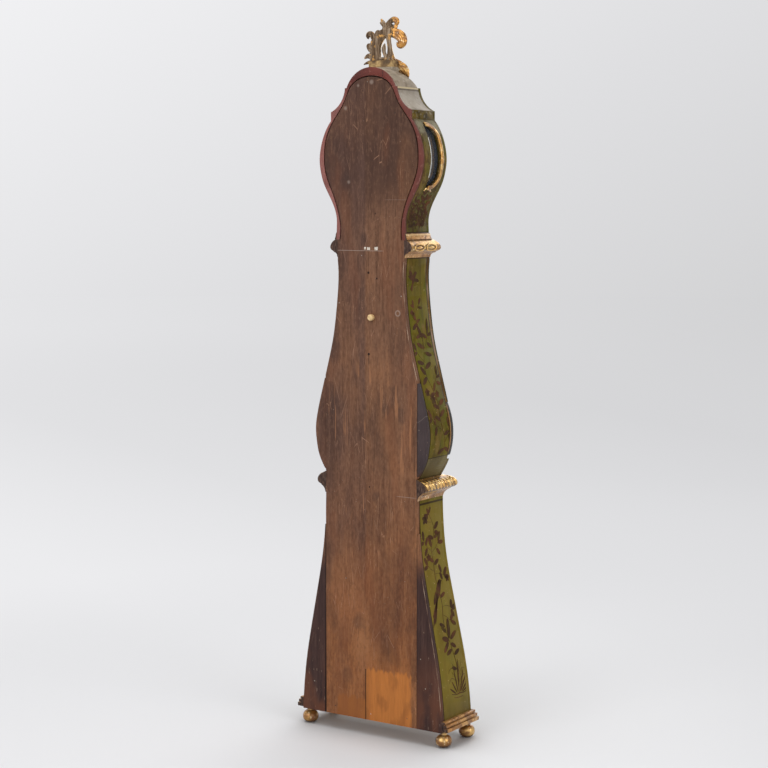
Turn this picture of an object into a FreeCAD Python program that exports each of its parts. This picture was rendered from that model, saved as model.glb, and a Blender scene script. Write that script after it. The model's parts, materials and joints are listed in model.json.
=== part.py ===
import FreeCAD, Part
import math
import os
import re

import Sketcher
from FreeCAD import Placement, Rotation, Vector

# A tall case clock of the shaped Swedish kind, in millimetres, +Z up, its front facing -Y.
# The origin lies on the floor under the middle of the whole clock. Depths are measured
# forward from the back of the case, so a place at depth d has y = rear_y - d.

# Driving dimensions, by piece
SIZES = [
    # ball feet
    ("foot_height", 55), ("ball_radius", 28), ("ball_height", 44), ("foot_neck_radius", 12),
    ("foot_side_inset", 11), ("foot_rear_inset", 30), ("foot_front_inset", 14),
    # base
    ("base_height", 815), ("base_foot_half", 291), ("base_top_half", 188), ("base_top_depth", 167),
    ("base_foot_depth", 194), ("base_board", 13), ("floor_board", 15),
    # trunk
    ("trunk_height", 847), ("lap_half", 186), ("lap_rise", 44), ("belly_half", 231), ("belly_rise", 192),
    ("waist_half", 133), ("waist_rise", 720), ("neck_half", 136), ("neck_rise", 775),
    ("trunk_depth", 160), ("side_board", 13), ("block_board", 20), ("front_board", 15),
    ("block_rise", 115),
    # back
    ("plank_half", 189), ("back_board", 17), ("head_foot_half", 125), ("head_half", 189),
    ("head_half_rise", 283), ("head_top_rise", 546), ("peg_radius", 10.5), ("peg_stand_out", 18),
    ("peg_shank_radius", 6), ("peg_side", 7), ("peg_rise", 585), ("wing_tip", 3),
    # mouldings, each as its stand-out at the side and at the front
    ("waist_moulding_drop", 59), ("waist_moulding_side", 31), ("waist_moulding_front", 22),
    ("lower_moulding_height", 74), ("lower_moulding_side", 36), ("lower_moulding_front", 42),
    ("base_moulding_height", 35), ("base_moulding_rise", 5), ("base_moulding_side", 24),
    ("base_moulding_front", 10), ("base_groove", 3), ("hood_moulding_height", 24),
    ("hood_moulding_side", 7), ("hood_moulding_front", 7),
    # hood
    ("hood_depth", 148), ("hood_front_board", 14), ("hood_side_board", 9), ("rim_board", 8),
    ("hood_foot_half", 141), ("hood_neck_half", 139), ("hood_neck_rise", 58), ("bulge_half", 211),
    ("bulge_rise", 266), ("band_half", 163), ("band_rise", 402), ("band_height", 30),
    ("fillet_half", 105), ("cove_height", 73), ("fillet_height", 6), ("dome_half", 98),
    ("dome_height", 67), ("head_gap", 4),
    # side windows of the hood
    ("window_rear_depth", 52), ("window_width", 54), ("window_height", 206), ("window_rise", 280),
    ("window_corner", 44), ("window_bead", 10), ("pane_thickness", 2),
    # crest
    ("plinth_half", 48), ("plinth_side", 4), ("plinth_height", 26), ("plinth_rear_depth", 66),
    ("plinth_depth", 46), ("plinth_seat", 45), ("crest_width", 120), ("crest_height", 143),
    ("crest_rear_depth", 73), ("crest_thickness", 12), ("leaf_thickness", 14),
    # hood door and dial opening
    ("dial_opening_radius", 140), ("ring_inner_radius", 136), ("ring_outer_radius", 171),
    ("ring_thickness", 12), ("ring_rebate", 5), ("glass_thickness", 2.5), ("door_gap", 0.3),
    ("hood_hinge_offset", 40), ("hood_hinge_height", 34), ("hood_barrel_radius", 3),
    ("hood_pin_radius", 1.6), ("leaf_plate", 1.5), ("hood_knob_radius", 7), ("hood_knob_height", 14),
    # trunk door
    ("door_disc_radius", 234), ("stile_width", 37), ("door_top_rise", 742), ("door_arch_drop", 104),
    ("door_arch_half", 192),
    ("door_sill_rise", 65), ("door_heel_rise", 115), ("reveal", 1.2), ("lens_radius", 68),
    ("lens_ring_outer", 84), ("lens_ring_inner", 64), ("lens_ring_height", 7), ("lens_glass", 3),
    ("trunk_hinge_offset", 50), ("trunk_hinge_reach", 27), ("trunk_hinge_height", 36),
    ("trunk_barrel_radius", 3.5),
    ("trunk_pin_radius", 2), ("hinge_clearance", 0.06), ("lock_rise", 500), ("lock_inset", 26),
    ("lock_plate_width", 18), ("lock_plate_height", 46), ("lock_plate", 1.6), ("lock_knob_radius", 6),
    ("lock_knob_height", 14),
    # seat for the movement
    ("seat_thickness", 20), ("seat_rear_depth", 45), ("seat_depth", 64), ("cheek_thickness", 12),
    ("cheek_rear_depth", 20), ("cheek_depth", 88), ("cheek_grip", 65), ("slot_width", 14),
    ("slot_depth", 30),
    # movement frame
    ("plate_width", 152), ("plate_below", 70), ("plate_above", 90), ("plate_thickness", 2.5),
    ("back_plate_depth", 52), ("train_room", 42), ("pillar_radius", 4), ("pillar_inset", 9),
    ("arbor_clearance", 0.06),
    # dial and hands
    ("dial_radius", 146), ("dial_thickness", 2), ("dial_depth", 111.5), ("dial_foot_radius", 2.5),
    ("dial_foot_side", 62), ("dial_foot_drop", 56), ("dial_centre_hole", 7.5), ("winding_hole", 6),
    ("seconds_hole", 2.6), ("seconds_rise", 46), ("hour_hand_length", 78), ("hour_hand_width", 22),
    ("minute_hand_length", 118), ("minute_hand_width", 16), ("seconds_hand_length", 24),
    ("seconds_hand_width", 3), ("hand_thickness", 1.2),
    # wheels: centre distances follow from the modules and the numbers of teeth
    ("great_module", 0.8), ("third_module", 0.8), ("escape_module", 0.7), ("minute_module", 0.75),
    ("wheel_thickness", 2), ("pinion_length", 6), ("arbor_radius", 2), ("pivot_radius", 1.5),
    ("winding_radius", 3), ("escape_tip_radius", 17), ("escape_tooth", 3.5), ("pallet_rise", 27),
    ("pallet_gap", 1.8), ("pallet_width", 4), ("drum_side", 34), ("drum_radius", 20),
    ("drum_length", 22), ("flange_radius", 23), ("flange_thickness", 1.5), ("great_wheel_depth", 57.5),
    ("escape_wheel_depth", 60), ("third_wheel_depth", 80), ("centre_wheel_depth", 88),
    ("cannon_depth", 101), ("centre_arbor_reach", 23), ("cannon_wall", 1.3), ("hour_wheel_gap", 4),
    ("hour_pipe_wall", 1.4),
    ("pipe_clearance", 0.06), ("strike_module", 0.78), ("boss_wall", 2.2),
    # bell and hammer
    ("bell_radius", 34), ("bell_height", 27), ("bell_wall", 2.5), ("bell_rise", 102),
    ("bell_depth", 74), ("bell_stand_side", 44), ("bell_stand_width", 12), ("bell_stand_plate", 3),
    ("hammer_side", 56), ("hammer_rise", 46), ("hammer_head", 5), ("hammer_gap", 2.5),
    ("hammer_wire", 1.4),
    # pendulum
    ("pendulum_depth", 34), ("rod_radius", 3), ("bob_radius", 66), ("bob_thickness", 22),
    ("bob_rim", 8), ("nut_radius", 8), ("nut_height", 10), ("rod_end", 30), ("eye_radius", 5),
    ("eye_thickness", 4), ("cock_height", 10), ("cock_width", 12), ("cock_rise", 7),
    ("cock_leg", 3), ("crutch_length", 105), ("crutch_depth", 44), ("crutch_plate", 3),
    ("prong_radius", 1.2), ("prong_gap", 0.6),
    # weights and their lines
    ("weight_radius", 29), ("weight_length", 200), ("weight_rest_rise", 288), ("weight_cap", 6),
    ("hook_height", 14), ("hook_wire", 2), ("hook_neck", 3), ("line_radius", 1.25), ("line_gap", 0.4),
]
ALIASES = [alias for alias, size in SIZES]

# Sizes that follow from the driving ones
DERIVED = {
    "rear_y": "(base_foot_depth - foot_front_inset + ball_radius - peg_stand_out) / 2",
    "base_top_z": "foot_height + base_height",
    "hood_z": "base_top_z + trunk_height",
    "belly_z": "base_top_z + belly_rise",
    "dial_z": "hood_z + bulge_rise",
    "escape_z": "dial_z + seconds_rise",
    "pivot_z": "escape_z + pallet_rise",
    "band_top_z": "hood_z + band_rise + band_height",
    "fillet_z": "band_top_z + cove_height",
    "roof_top_z": "fillet_z + fillet_height + dome_height",
    "plinth_top_z": "roof_top_z + plinth_height",
    "seat_z": "dial_z - plate_below",
    "front_plate_depth": "back_plate_depth + plate_thickness + train_room",
    "plates_front": "front_plate_depth + plate_thickness",
    "ring_depth": "hood_depth + door_gap",
    "lock_side": "waist_half - stile_width - lock_inset",
    "hood_axis_side": "ring_outer_radius + 2 * hood_barrel_radius",
    "hood_axis_depth": "hood_depth + ring_thickness / 2 + door_gap",
    "trunk_axis_side": "door_disc_radius + trunk_barrel_radius + door_gap * 3",
    "trunk_axis_depth": "trunk_depth - front_board / 2",
    "line_side": "drum_side + drum_radius + line_radius + line_gap",
    "drum_depth": "great_wheel_depth + 2 * wheel_thickness + 2 * flange_thickness",
    "line_depth": "drum_depth + drum_length / 2",
    "rest_z": "base_top_z + weight_rest_rise",
    "cock_z": "pivot_z + cock_rise",
}

# Shapes as shares of the sizes that they follow, from the first point to the last.
# The flare of the base, from the floor up: share of the height, share of the spread.
BASE_FLARE_SHARES = [(0, 1), (0.067, 0.97), (0.229, 0.835), (0.393, 0.602), (0.555, 0.35),
                     (0.715, 0.126), (0.865, 0.02), (1, 0)]
# From the lower moulding up to the widest part of the belly.
BELLY_LOWER_SHARES = [(0, 0), (0.139, 0.289), (0.404, 0.711), (0.682, 0.911), (1, 1)]
# From the widest part of the belly up to the waist.
BELLY_UPPER_SHARES = [(0.109, 0.918), (0.272, 0.694), (0.432, 0.459), (0.592, 0.245), (0.752, 0.112),
                      (0.886, 0.035), (1, 0)]
# From the hood's neck to its bulge, and from the bulge to the band.
BULGE_LOWER_SHARES = [(0, 0), (0.26, 0.167), (0.457, 0.472), (0.654, 0.778), (0.851, 0.944), (1, 1)]
BULGE_UPPER_SHARES = [(0.22, 0.958), (0.522, 0.75), (0.816, 0.375), (1, 0)]
# The head of the backboard, from its foot to its widest part, and from there to its top.
HEAD_LOWER_SHARES = [(0, 0), (0.293, 0.047), (0.505, 0.36), (0.823, 0.9375), (1, 1)]
HEAD_UPPER_SHARES = [(0.228, 0.958), (0.456, 0.794), (0.684, 0.566), (0.875, 0.43), (1, 0)]
COVE_MIDDLE_SHARES = (0.24, 0.5)
# Where the stiles run out beside the door's round, as a share of its radius.
STILE_FOOT_SHARE = 0.44
# Moulding profiles: share of the height from the bottom, share of the stand-out.
WAIST_PROFILE_SHARES = [(0, 0.06), (0.16, 0.14), (0.27, 0.5), (0.33, 0.58), (0.37, 0.74), (0.55, 1),
                        (0.78, 0.84), (1, 0.3)]
LOWER_PROFILE_SHARES = [(0, 0.08), (0.16, 0.18), (0.33, 0.54), (0.37, 0.6), (0.41, 0.8), (0.56, 1),
                        (0.76, 0.84), (0.91, 0.38), (1, 0.05)]
HOOD_PROFILE_SHARES = [(0, 1), (0.2, 1), (0.3, 0.72), (0.62, 0.5), (0.72, 0.5), (1, 0.12)]
BASE_STEP_SHARES = [(0, 0.36, 1), (0.42, 0.7, 0.8), (0.76, 1, 0.5)]
# The crest's carved board, lobe by lobe up one side, over the top and down the other: share of
# the width from the middle, share of the height.
CREST_LOBE_SHARES = [
    [(0.37, 0), (0.63, 0.01)],
    [(0.63, 0.01), (0.58, 0.09), (0.46, 0.13)],
    [(0.46, 0.13), (0.34, 0.16)],
    [(0.34, 0.16), (0.47, 0.22), (0.52, 0.31), (0.46, 0.38), (0.35, 0.42)],
    [(0.35, 0.42), (0.43, 0.49), (0.51, 0.57), (0.46, 0.66), (0.34, 0.66), (0.25, 0.56)],
    [(0.25, 0.56), (0.19, 0.65), (0.1, 0.69), (-0.01, 0.7)],
    [(-0.01, 0.7), (0.02, 0.77), (-0.01, 0.83)],
    [(-0.01, 0.83), (0.05, 0.9), (0.08, 0.97)],
    [(0.08, 0.97), (0.01, 0.95), (-0.09, 0.98)],
    [(-0.09, 0.98), (-0.25, 1), (-0.38, 0.99), (-0.46, 0.95), (-0.45, 0.87), (-0.37, 0.81)],
    [(-0.37, 0.81), (-0.4, 0.76), (-0.26, 0.73)],
    [(-0.26, 0.73), (-0.5, 0.66), (-0.67, 0.54), (-0.72, 0.42), (-0.65, 0.32), (-0.52, 0.29),
     (-0.42, 0.33), (-0.37, 0.39), (-0.28, 0.39)],
    [(-0.28, 0.39), (-0.24, 0.28), (-0.28, 0.16), (-0.33, 0.07), (-0.36, 0)],
]
CREST_HOLE_SHARES = [(-0.1, 0.42), (0.04, 0.38), (0.11, 0.27), (0.11, 0.16), (0.06, 0.13),
                     (-0.08, 0.17), (-0.17, 0.27), (-0.16, 0.38)]
# The leaf that hangs over the front of the dome.
DROOP_SHARES = [(-0.19, -0.02), (-0.32, -0.1), (-0.49, -0.16), (-0.59, -0.28), (-0.57, -0.37),
                (-0.47, -0.37), (-0.3, -0.27), (-0.19, -0.18)]

GREAT_TEETH = 96
CENTRE_TEETH = 64
THIRD_TEETH = 60
PINION_LEAVES = 8
ESCAPE_TEETH = 30
CANNON_TEETH = 16
MINUTE_TEETH = 48
MINUTE_LEAVES = 14
HOUR_TEETH = 56
STRIKE_TEETH = 75
WEB_HOLES = 5
# Tooth depths as shares of the module; tooth widths and lean as shares of the pitch.
DEDENDUM_SHARE = 0.85
ADDENDUM_SHARE = 0.62
TOOTH_HALF_SHARE = 0.3
ESCAPE_TOOTH_HALF_SHARE = 0.24
ESCAPE_LEAN_SHARE = 0.2
# Holes in a wheel, as a share of its web and of the room between two spokes.
WEB_HOLE_SHARE = 0.385
SPOKE_HOLE_SHARE = 0.82
# A hand's blade: widths as shares of the ring's, heights as shares of the length.
HAND_STEM_SHARE = 0.125
HAND_NECK_SHARE = 0.175
HAND_TIP_SHARE = 0.275
HAND_HOLE_SHARE = 0.278
HAND_RING_RISE_SHARE = 0.62
HAND_TIP_RISE_SHARE = 0.86
# The bob's shoulder: share of its radius, share of its thickness.
BOB_SHOULDER_SHARES = (0.6, 0.42)
PALLET_ANGLE = 50
FULL_TURN = 360
CORNERS = ((1, 1), (1, -1), (-1, 1), (-1, -1))

doc = FreeCAD.newDocument("mora_clock")
sheet = doc.addObject("Spreadsheet::Sheet", "Sizes")
for row, (alias, size) in enumerate(SIZES, start=1):
    sheet.set(f"A{row}", alias)
    sheet.set(f"B{row}", str(size))
    sheet.setAlias(f"B{row}", alias)
doc.recompute()
pieces = []


def formula(text):
    """Write a formula of size names out as an expression on the sheet."""
    def spell(match):
        word = match.group(0)
        if word in DERIVED:
            return "(" + formula(DERIVED[word]) + ")"
        if word in ALIASES:
            return "Sizes." + word
        return word
    return re.sub(r"[a-z][a-z_]+", spell, str(text))


def number(text):
    """The present value of a formula of size names."""
    return float(sheet.evalExpression(formula(text)))


def place_at(x, depth, z):
    """A point at a side, a depth forward from the back, and a height, all as numbers."""
    return Vector(x, number("rear_y") - depth, z)


def bind(obj, **formulas):
    for name, text in formulas.items():
        obj.setExpression(name, formula(text))
    return obj


def put(obj, x="0", depth="0", z="0"):
    """Bind an object's place to the sheet."""
    obj.setExpression("Placement.Base.x", formula(x))
    obj.setExpression("Placement.Base.y", formula(f"rear_y - ({depth})"))
    obj.setExpression("Placement.Base.z", formula(z))
    return obj


def keep(obj):
    """Count an object as a piece of the clock."""
    pieces.append(obj)
    return obj


def shaped(label, shape):
    """A piece whose shape is worked out from the sheet by formula."""
    feature = doc.addObject("Part::Feature", label)
    feature.Shape = shape
    return keep(feature)


def block(name, length, width, height, x, depth, z):
    """A box with its low side, its greatest depth and its foot at a place."""
    box = doc.addObject("Part::Box", name)
    bind(box, Length=length, Width=width, Height=height)
    return put(box, x, depth, z)


def bar(name, radius, length, x, depth, z):
    """A round bar that runs up from a height."""
    cylinder = doc.addObject("Part::Cylinder", name)
    bind(cylinder, Radius=radius, Height=length)
    return put(cylinder, x, depth, z)


def joined(label, parts):
    fuse = doc.addObject("Part::MultiFuse", label)
    fuse.Shapes = parts
    return fuse


def less(label, base, tool):
    cut = doc.addObject("Part::Cut", label)
    cut.Base = base
    cut.Tool = tool
    return cut


def group_of(label, parts):
    """Separate solids of one kind, kept as one piece."""
    compound = doc.addObject("Part::Compound", label)
    compound.Links = parts
    return compound


def profile_sketch(body, name, points):
    """A closed outline on the body's upright plane, each point bound to the sheet."""
    sketch = body.newObject("Sketcher::SketchObject", name)
    for plane in body.Origin.OriginFeatures:
        if plane.Role == "XZ_Plane":
            sketch.AttachmentSupport = [(plane, "")]
    sketch.MapMode = "FlatFace"
    values = [(number(across), number(up)) for across, up in points]
    count = len(points)
    for index in range(count):
        start = values[index]
        end = values[(index + 1) % count]
        sketch.addGeometry(Part.LineSegment(Vector(*start, 0), Vector(*end, 0)), False)
    for index in range(count):
        sketch.addConstraint(Sketcher.Constraint("Coincident", index, 2, (index + 1) % count, 1))
    for index, point in enumerate(points):
        for kind, text, value in zip(("DistanceX", "DistanceY"), point, values[index]):
            row = sketch.addConstraint(Sketcher.Constraint(kind, -1, 1, index, 1, value))
            if value:
                sketch.setExpression(f"Constraints[{row}]", formula(text))
    return sketch


def turned(label, points, x="0", depth="0", z="0", forward=False):
    """A body of revolution: points are radius and length along an axis up or forward."""
    body = doc.addObject("PartDesign::Body", label)
    sketch = profile_sketch(body, label + "_profile", points)
    turning = body.newObject("PartDesign::Revolution", label + "_turning")
    turning.Profile = sketch
    turning.ReferenceAxis = (sketch, ["V_Axis"])
    turning.Angle = FULL_TURN
    sketch.Visibility = False
    if forward:
        body.Placement.Rotation = Rotation(Vector(1, 0, 0), 90)
    return put(body, x, depth, z)


def tube(inner, outer, length):
    """The profile of a tube or ring from the axis end, for a turned body."""
    return [(inner, "0"), (outer, "0"), (outer, length), (inner, length)]


# Outlines of the case, as half outlines on the +X side at y = 0
def spread(shares, z_start, z_end, x_start, x_end):
    return [Vector(x_start + (x_end - x_start) * across, 0, z_start + (z_end - z_start) * up)
            for up, across in shares]


def curve_through(points):
    curve = Part.BSplineCurve()
    curve.interpolate(points)
    return curve.toShape()


def belly_points():
    """The trunk's side from the lower moulding to the neck."""
    lap_z = number("base_top_z + lap_rise")
    belly_z = number("belly_z")
    waist_z = number("base_top_z + waist_rise")
    belly = number("belly_half")
    points = spread(BELLY_LOWER_SHARES, lap_z, belly_z, number("lap_half"), belly)
    points += spread(BELLY_UPPER_SHARES, belly_z, waist_z, number("waist_half"), belly)
    points.append(Vector(number("neck_half"), 0, number("base_top_z + neck_rise")))
    return points


def bulge_points(grow=0.0):
    """The hood's side from its neck over the bulge to the band."""
    neck_z = number("hood_z + hood_neck_rise")
    neck = number("hood_neck_half") + grow
    bulge = number("bulge_half") + grow
    points = spread(BULGE_LOWER_SHARES, neck_z, number("dial_z"), neck, bulge)
    band = number("band_half") + grow
    points += spread(BULGE_UPPER_SHARES, number("dial_z"), number("hood_z + band_rise"), band, bulge)
    return points


def head_points(grow=0.0):
    """The shaped head of the backboard up to its top, at the middle."""
    foot = number("head_foot_half") + grow
    half = number("head_half") + grow
    foot_z = number("hood_z")
    half_z = number("hood_z + head_half_rise")
    top_z = number("hood_z + head_top_rise") + grow
    points = spread(HEAD_LOWER_SHARES, foot_z, half_z, foot, half)
    points += spread(HEAD_UPPER_SHARES, half_z, top_z, 0, half)
    return points


def mirrored(points):
    return [Vector(-point.x, point.y, point.z) for point in reversed(points)]


def flip(edges):
    """The same edges on the other side of the middle."""
    matrix = FreeCAD.Matrix()
    matrix.A11 = -1
    return [edge.transformGeometry(matrix) if edge.Curve.TypeId == "Part::GeomBSplineCurve"
            else edge.mirror(Vector(0, 0, 0), Vector(1, 0, 0)) for edge in edges]


def face_between(edges):
    """A face bounded by half outline edges, their mirror images and lines that close them."""
    wire = Part.Wire(Part.__sortEdges__(edges))
    ends = sorted((vertex.Point for vertex in wire.OrderedVertexes), key=lambda point: point.z)
    other = flip(edges)
    low = ends[0]
    high = ends[-1]
    rim = list(edges) + list(other)
    rim.append(Part.makeLine(low, Vector(-low.x, low.y, low.z)))
    if high.x > 0:
        rim.append(Part.makeLine(high, Vector(-high.x, high.y, high.z)))
    return Part.Face(Part.Wire(Part.__sortEdges__(rim)))


def prism(face, depth_from, depth_to):
    """A face in the upright middle plane drawn out between two depths."""
    solid = face.extrude(Vector(0, depth_from - depth_to, 0))
    solid.translate(Vector(0, number("rear_y") - depth_from, 0))
    return solid


def slab(x_from, x_to, depth_from, depth_to, z_from, z_to):
    corner = place_at(x_from, depth_to, z_from)
    return Part.makeBox(x_to - x_from, depth_to - depth_from, z_to - z_from, corner)


def base_face():
    points = spread(BASE_FLARE_SHARES, number("foot_height"), number("base_top_z"),
                    number("base_top_half"), number("base_foot_half"))
    return face_between([curve_through(points)])


def trunk_face():
    """The trunk from the top of the base to the hood, with its straight neck."""
    points = belly_points()
    foot = Vector(number("base_top_half"), 0, number("base_top_z"))
    neck = Vector(number("neck_half"), 0, number("hood_z"))
    return face_between([Part.makeLine(foot, points[0]), curve_through(points),
                         Part.makeLine(points[-1], neck)])


def hood_face(grow=0.0):
    """The hood's outline seen from the front, with its roof."""
    foot = Vector(number("hood_foot_half") + grow, 0, number("hood_z"))
    points = bulge_points(grow)
    band_top = Vector(number("band_half") + grow, 0, number("band_top_z"))
    edges = [Part.makeLine(foot, points[0]), curve_through(points), Part.makeLine(points[-1], band_top)]
    return face_between(edges + roof_edges(band_top))


def roof_edges(band_top):
    """Cove, fillet and dome, from the top of the band to the middle."""
    fillet_half = number("fillet_half")
    fillet_z = number("fillet_z")
    dome_z = number("fillet_z + fillet_height")
    share_x, share_z = COVE_MIDDLE_SHARES
    middle = Vector(fillet_half + share_x * (band_top.x - fillet_half), 0,
                    fillet_z - share_z * (fillet_z - band_top.z))
    fillet_low = Vector(fillet_half, 0, fillet_z)
    fillet_top = Vector(fillet_half, 0, dome_z)
    dome_foot = Vector(number("dome_half"), 0, dome_z)
    cove = Part.Arc(band_top, middle, fillet_low).toShape()
    return [cove, Part.makeLine(fillet_low, fillet_top), Part.makeLine(fillet_top, dome_foot),
            dome_edge(number("dome_half"), number("dome_height"), dome_z)]


def dome_radius():
    """The radius of the round that the dome's section follows."""
    half = number("dome_half")
    height = number("dome_height")
    return (half ** 2 + height ** 2) / (2 * height)


def dome_edge(half, height, foot_z):
    """The dome's section from its foot to its top."""
    radius = dome_radius()
    low_z = foot_z + height - radius
    shoulder = half / 2
    middle = Vector(shoulder, 0, low_z + math.sqrt(radius ** 2 - shoulder ** 2))
    return Part.Arc(Vector(half, 0, foot_z), middle, Vector(0, 0, foot_z + height)).toShape()


def hip(inset, low_z):
    """The dome's room above a height, its front rounded to the same section as its sides."""
    radius = dome_radius() - inset
    centre_z = number("roof_top_z") - dome_radius()
    centre_depth = number("hood_depth - fillet_half")
    reach = number("bulge_half")
    front = slab(-reach, reach, centre_depth, centre_depth + radius, low_z, centre_z + radius)
    rounded = Part.makeCylinder(radius, 2 * reach, place_at(-reach, centre_depth, centre_z), Vector(1, 0, 0))
    behind = slab(-reach, reach, 0, centre_depth, low_z, centre_z + radius)
    return behind.fuse(rounded.common(front)).removeSplitter()


def hood_envelope():
    """The hood as a solid block, with the round front end of its dome."""
    block_all = prism(hood_face(), 0, number("hood_depth"))
    dome_z = number("fillet_z + fillet_height")
    reach = number("bulge_half")
    low = slab(-reach, reach, 0, number("hood_depth"), number("hood_z"), dome_z)
    return block_all.common(low.fuse(hip(0, dome_z)))


def head_face(grow=0.0):
    """One smooth curve over the head, closed by a line at its foot."""
    points = head_points(grow)
    curve = curve_through(points + mirrored(points)[1:])
    return Part.Face(Part.Wire([curve, Part.makeLine(points[0], Vector(-points[0].x, 0, points[0].z))]))


def shifted_inward(face, amount):
    """What stays of a symmetrical face when both its sides move in by an amount."""
    left = face.copy()
    left.translate(Vector(amount, 0, 0))
    right = face.copy()
    right.translate(Vector(-amount, 0, 0))
    return left.common(right).Faces[0]


def only_solid(shape):
    return shape.Solids[0] if len(shape.Solids) == 1 else Part.makeCompound(shape.Solids)


# Base
def base_depth_points():
    """The side view of the base's hollow front, in the plane across."""
    shares = spread(BASE_FLARE_SHARES, number("foot_height"), number("base_top_z"),
                    number("base_top_depth"), number("base_foot_depth"))
    return [Vector(0, -point.x, point.z) for point in shares]


def base_depth_prism(inset, rear_depth):
    """The room behind the base's front, less an inset, back to a depth."""
    points = [point + Vector(0, inset, 0) for point in base_depth_points()]
    low, high = points[0], points[-1]
    rear_low = Vector(0, -rear_depth, low.z)
    rear_high = Vector(0, -rear_depth, high.z)
    edges = [curve_through(points), Part.makeLine(high, rear_high), Part.makeLine(rear_high, rear_low),
             Part.makeLine(rear_low, low)]
    face = Part.Face(Part.Wire(edges))
    reach = number("base_foot_half")
    face.translate(Vector(-reach, number("rear_y"), 0))
    return face.extrude(Vector(2 * reach, 0, 0))


def make_base():
    board = number("base_board")
    back = number("back_board")
    deep = number("base_foot_depth")
    outer = base_face()
    inner = shifted_inward(outer, board)
    shell = prism(outer, back, deep).common(base_depth_prism(board, back))
    room = prism(inner, back, deep)
    walls = shell.cut(room)
    reach = number("base_foot_half")
    for side, name in ((1, "left"), (-1, "right")):
        half = slab(min(0, side * reach), max(0, side * reach), 0, deep, 0, number("base_top_z"))
        shaped(f"base_side_{name}", only_solid(walls.common(half)))
    front = prism(outer, back, deep).common(base_depth_prism(0, back)).cut(base_depth_prism(board, 0))
    shaped("base_front", only_solid(front))
    floor_z = number("foot_height")
    floor = slab(-reach, reach, back, deep, floor_z, floor_z + number("floor_board"))
    shaped("bottom_board", only_solid(floor.common(room).common(base_depth_prism(board, back))))


def make_feet():
    """Four flattened balls, each with a flat under it and a short neck up to the base."""
    flat = number("foot_neck_radius")
    tall = number("foot_height")
    low = Vector(flat, 0, 0)
    waist = Vector(number("ball_radius"), 0, number("ball_height") / 2)
    high = Vector(flat, 0, number("ball_height"))
    corners = [high, Vector(flat, 0, tall), Vector(0, 0, tall), Vector(0, 0, 0), low]
    edges = [Part.Arc(low, waist, high).toShape()]
    edges += [Part.makeLine(start, end) for start, end in zip(corners, corners[1:])]
    ball = Part.Face(Part.Wire(edges)).revolve(Vector(0, 0, 0), Vector(0, 0, 1), FULL_TURN)
    across = number("base_foot_half - foot_side_inset")
    feet = []
    for side, fore in CORNERS:
        foot = ball.copy()
        depth = number("base_foot_depth - foot_front_inset") if fore > 0 else number("foot_rear_inset")
        foot.translate(place_at(side * across, depth, 0))
        feet.append(foot)
    shaped("ball_feet", Part.makeCompound(feet))


# Trunk
def make_trunk():
    board = number("side_board")
    back = number("back_board")
    front = number("trunk_depth - front_board")
    outer = trunk_face()
    seam_z = number("base_top_z + block_rise")
    reach = number("belly_half")
    walls = prism(outer, back, front).cut(prism(shifted_inward(outer, board), back, front))
    thick = prism(outer, back, front).cut(prism(shifted_inward(outer, number("block_board")), back, front))
    blocks = []
    for side, name in ((1, "left"), (-1, "right")):
        low, high = min(0, side * reach), max(0, side * reach)
        above = slab(low, high, back, front, seam_z, number("hood_z"))
        below = slab(low, high, back, front, number("base_top_z"), seam_z)
        shaped(f"trunk_side_{name}", only_solid(walls.common(above)))
        blocks.append(only_solid(thick.common(below)))
    shaped("belly_blocks", Part.makeCompound(blocks))


def door_solid(grow, depth_from, depth_to):
    """The trunk door: a round about the belly with a waisted panel above it."""
    axis = Vector(0, -1, 0)
    thick = depth_to - depth_from
    belly_z = number("belly_z")
    disc = Part.makeCylinder(number("door_disc_radius") + grow, thick, place_at(0, depth_from, belly_z), axis)
    panel = prism(shifted_inward(trunk_face(), number("stile_width") - grow), depth_from, depth_to)
    top_z = number("base_top_z + door_top_rise") + grow
    arch_z = top_z - number("door_arch_drop")
    arch = number("door_arch_half")
    corners = [Vector(-arch, 0, arch_z), Vector(-arch, 0, belly_z), Vector(arch, 0, belly_z),
               Vector(arch, 0, arch_z)]
    crown = Part.Arc(corners[-1], Vector(0, 0, top_z), corners[0]).toShape()
    sides = [Part.makeLine(start, end) for start, end in zip(corners, corners[1:])]
    below = Part.Face(Part.Wire([crown] + sides))
    panel = panel.common(prism(below, depth_from, depth_to))
    heel_z = number("base_top_z + door_heel_rise") - grow
    sill_z = number("base_top_z + door_sill_rise") - grow
    drop = belly_z - heel_z
    heel = math.sqrt((number("door_disc_radius") + grow) ** 2 - drop ** 2)
    rise = heel_z - sill_z
    sill_radius = (heel ** 2 + rise ** 2) / (2 * rise)
    sweep = Part.makeCylinder(sill_radius, thick, place_at(0, depth_from, sill_z + sill_radius), axis)
    return disc.fuse(panel).removeSplitter().common(sweep)


def make_trunk_front():
    """The frame round the door: stiles and top rail in one, and the bottom rail."""
    front = number("trunk_depth")
    rear = number("trunk_depth - front_board")
    reach = number("belly_half")
    face = prism(trunk_face(), rear, front)
    opening = door_solid(number("reveal"), rear - number("door_gap"), front + number("door_gap"))
    rest = face.cut(opening)
    tip_top = number("belly_z") + number("door_disc_radius") * STILE_FOOT_SHARE
    tip_low = number("base_top_z + door_heel_rise") - number("front_board")
    frame = [rest.common(slab(-reach, reach, rear, front, tip_top, number("hood_z"))),
             rest.common(slab(-reach, reach, rear, front, number("base_top_z"), tip_low))]
    shaped("trunk_front_frame", Part.makeCompound([solid for piece in frame for solid in piece.Solids]))


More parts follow.
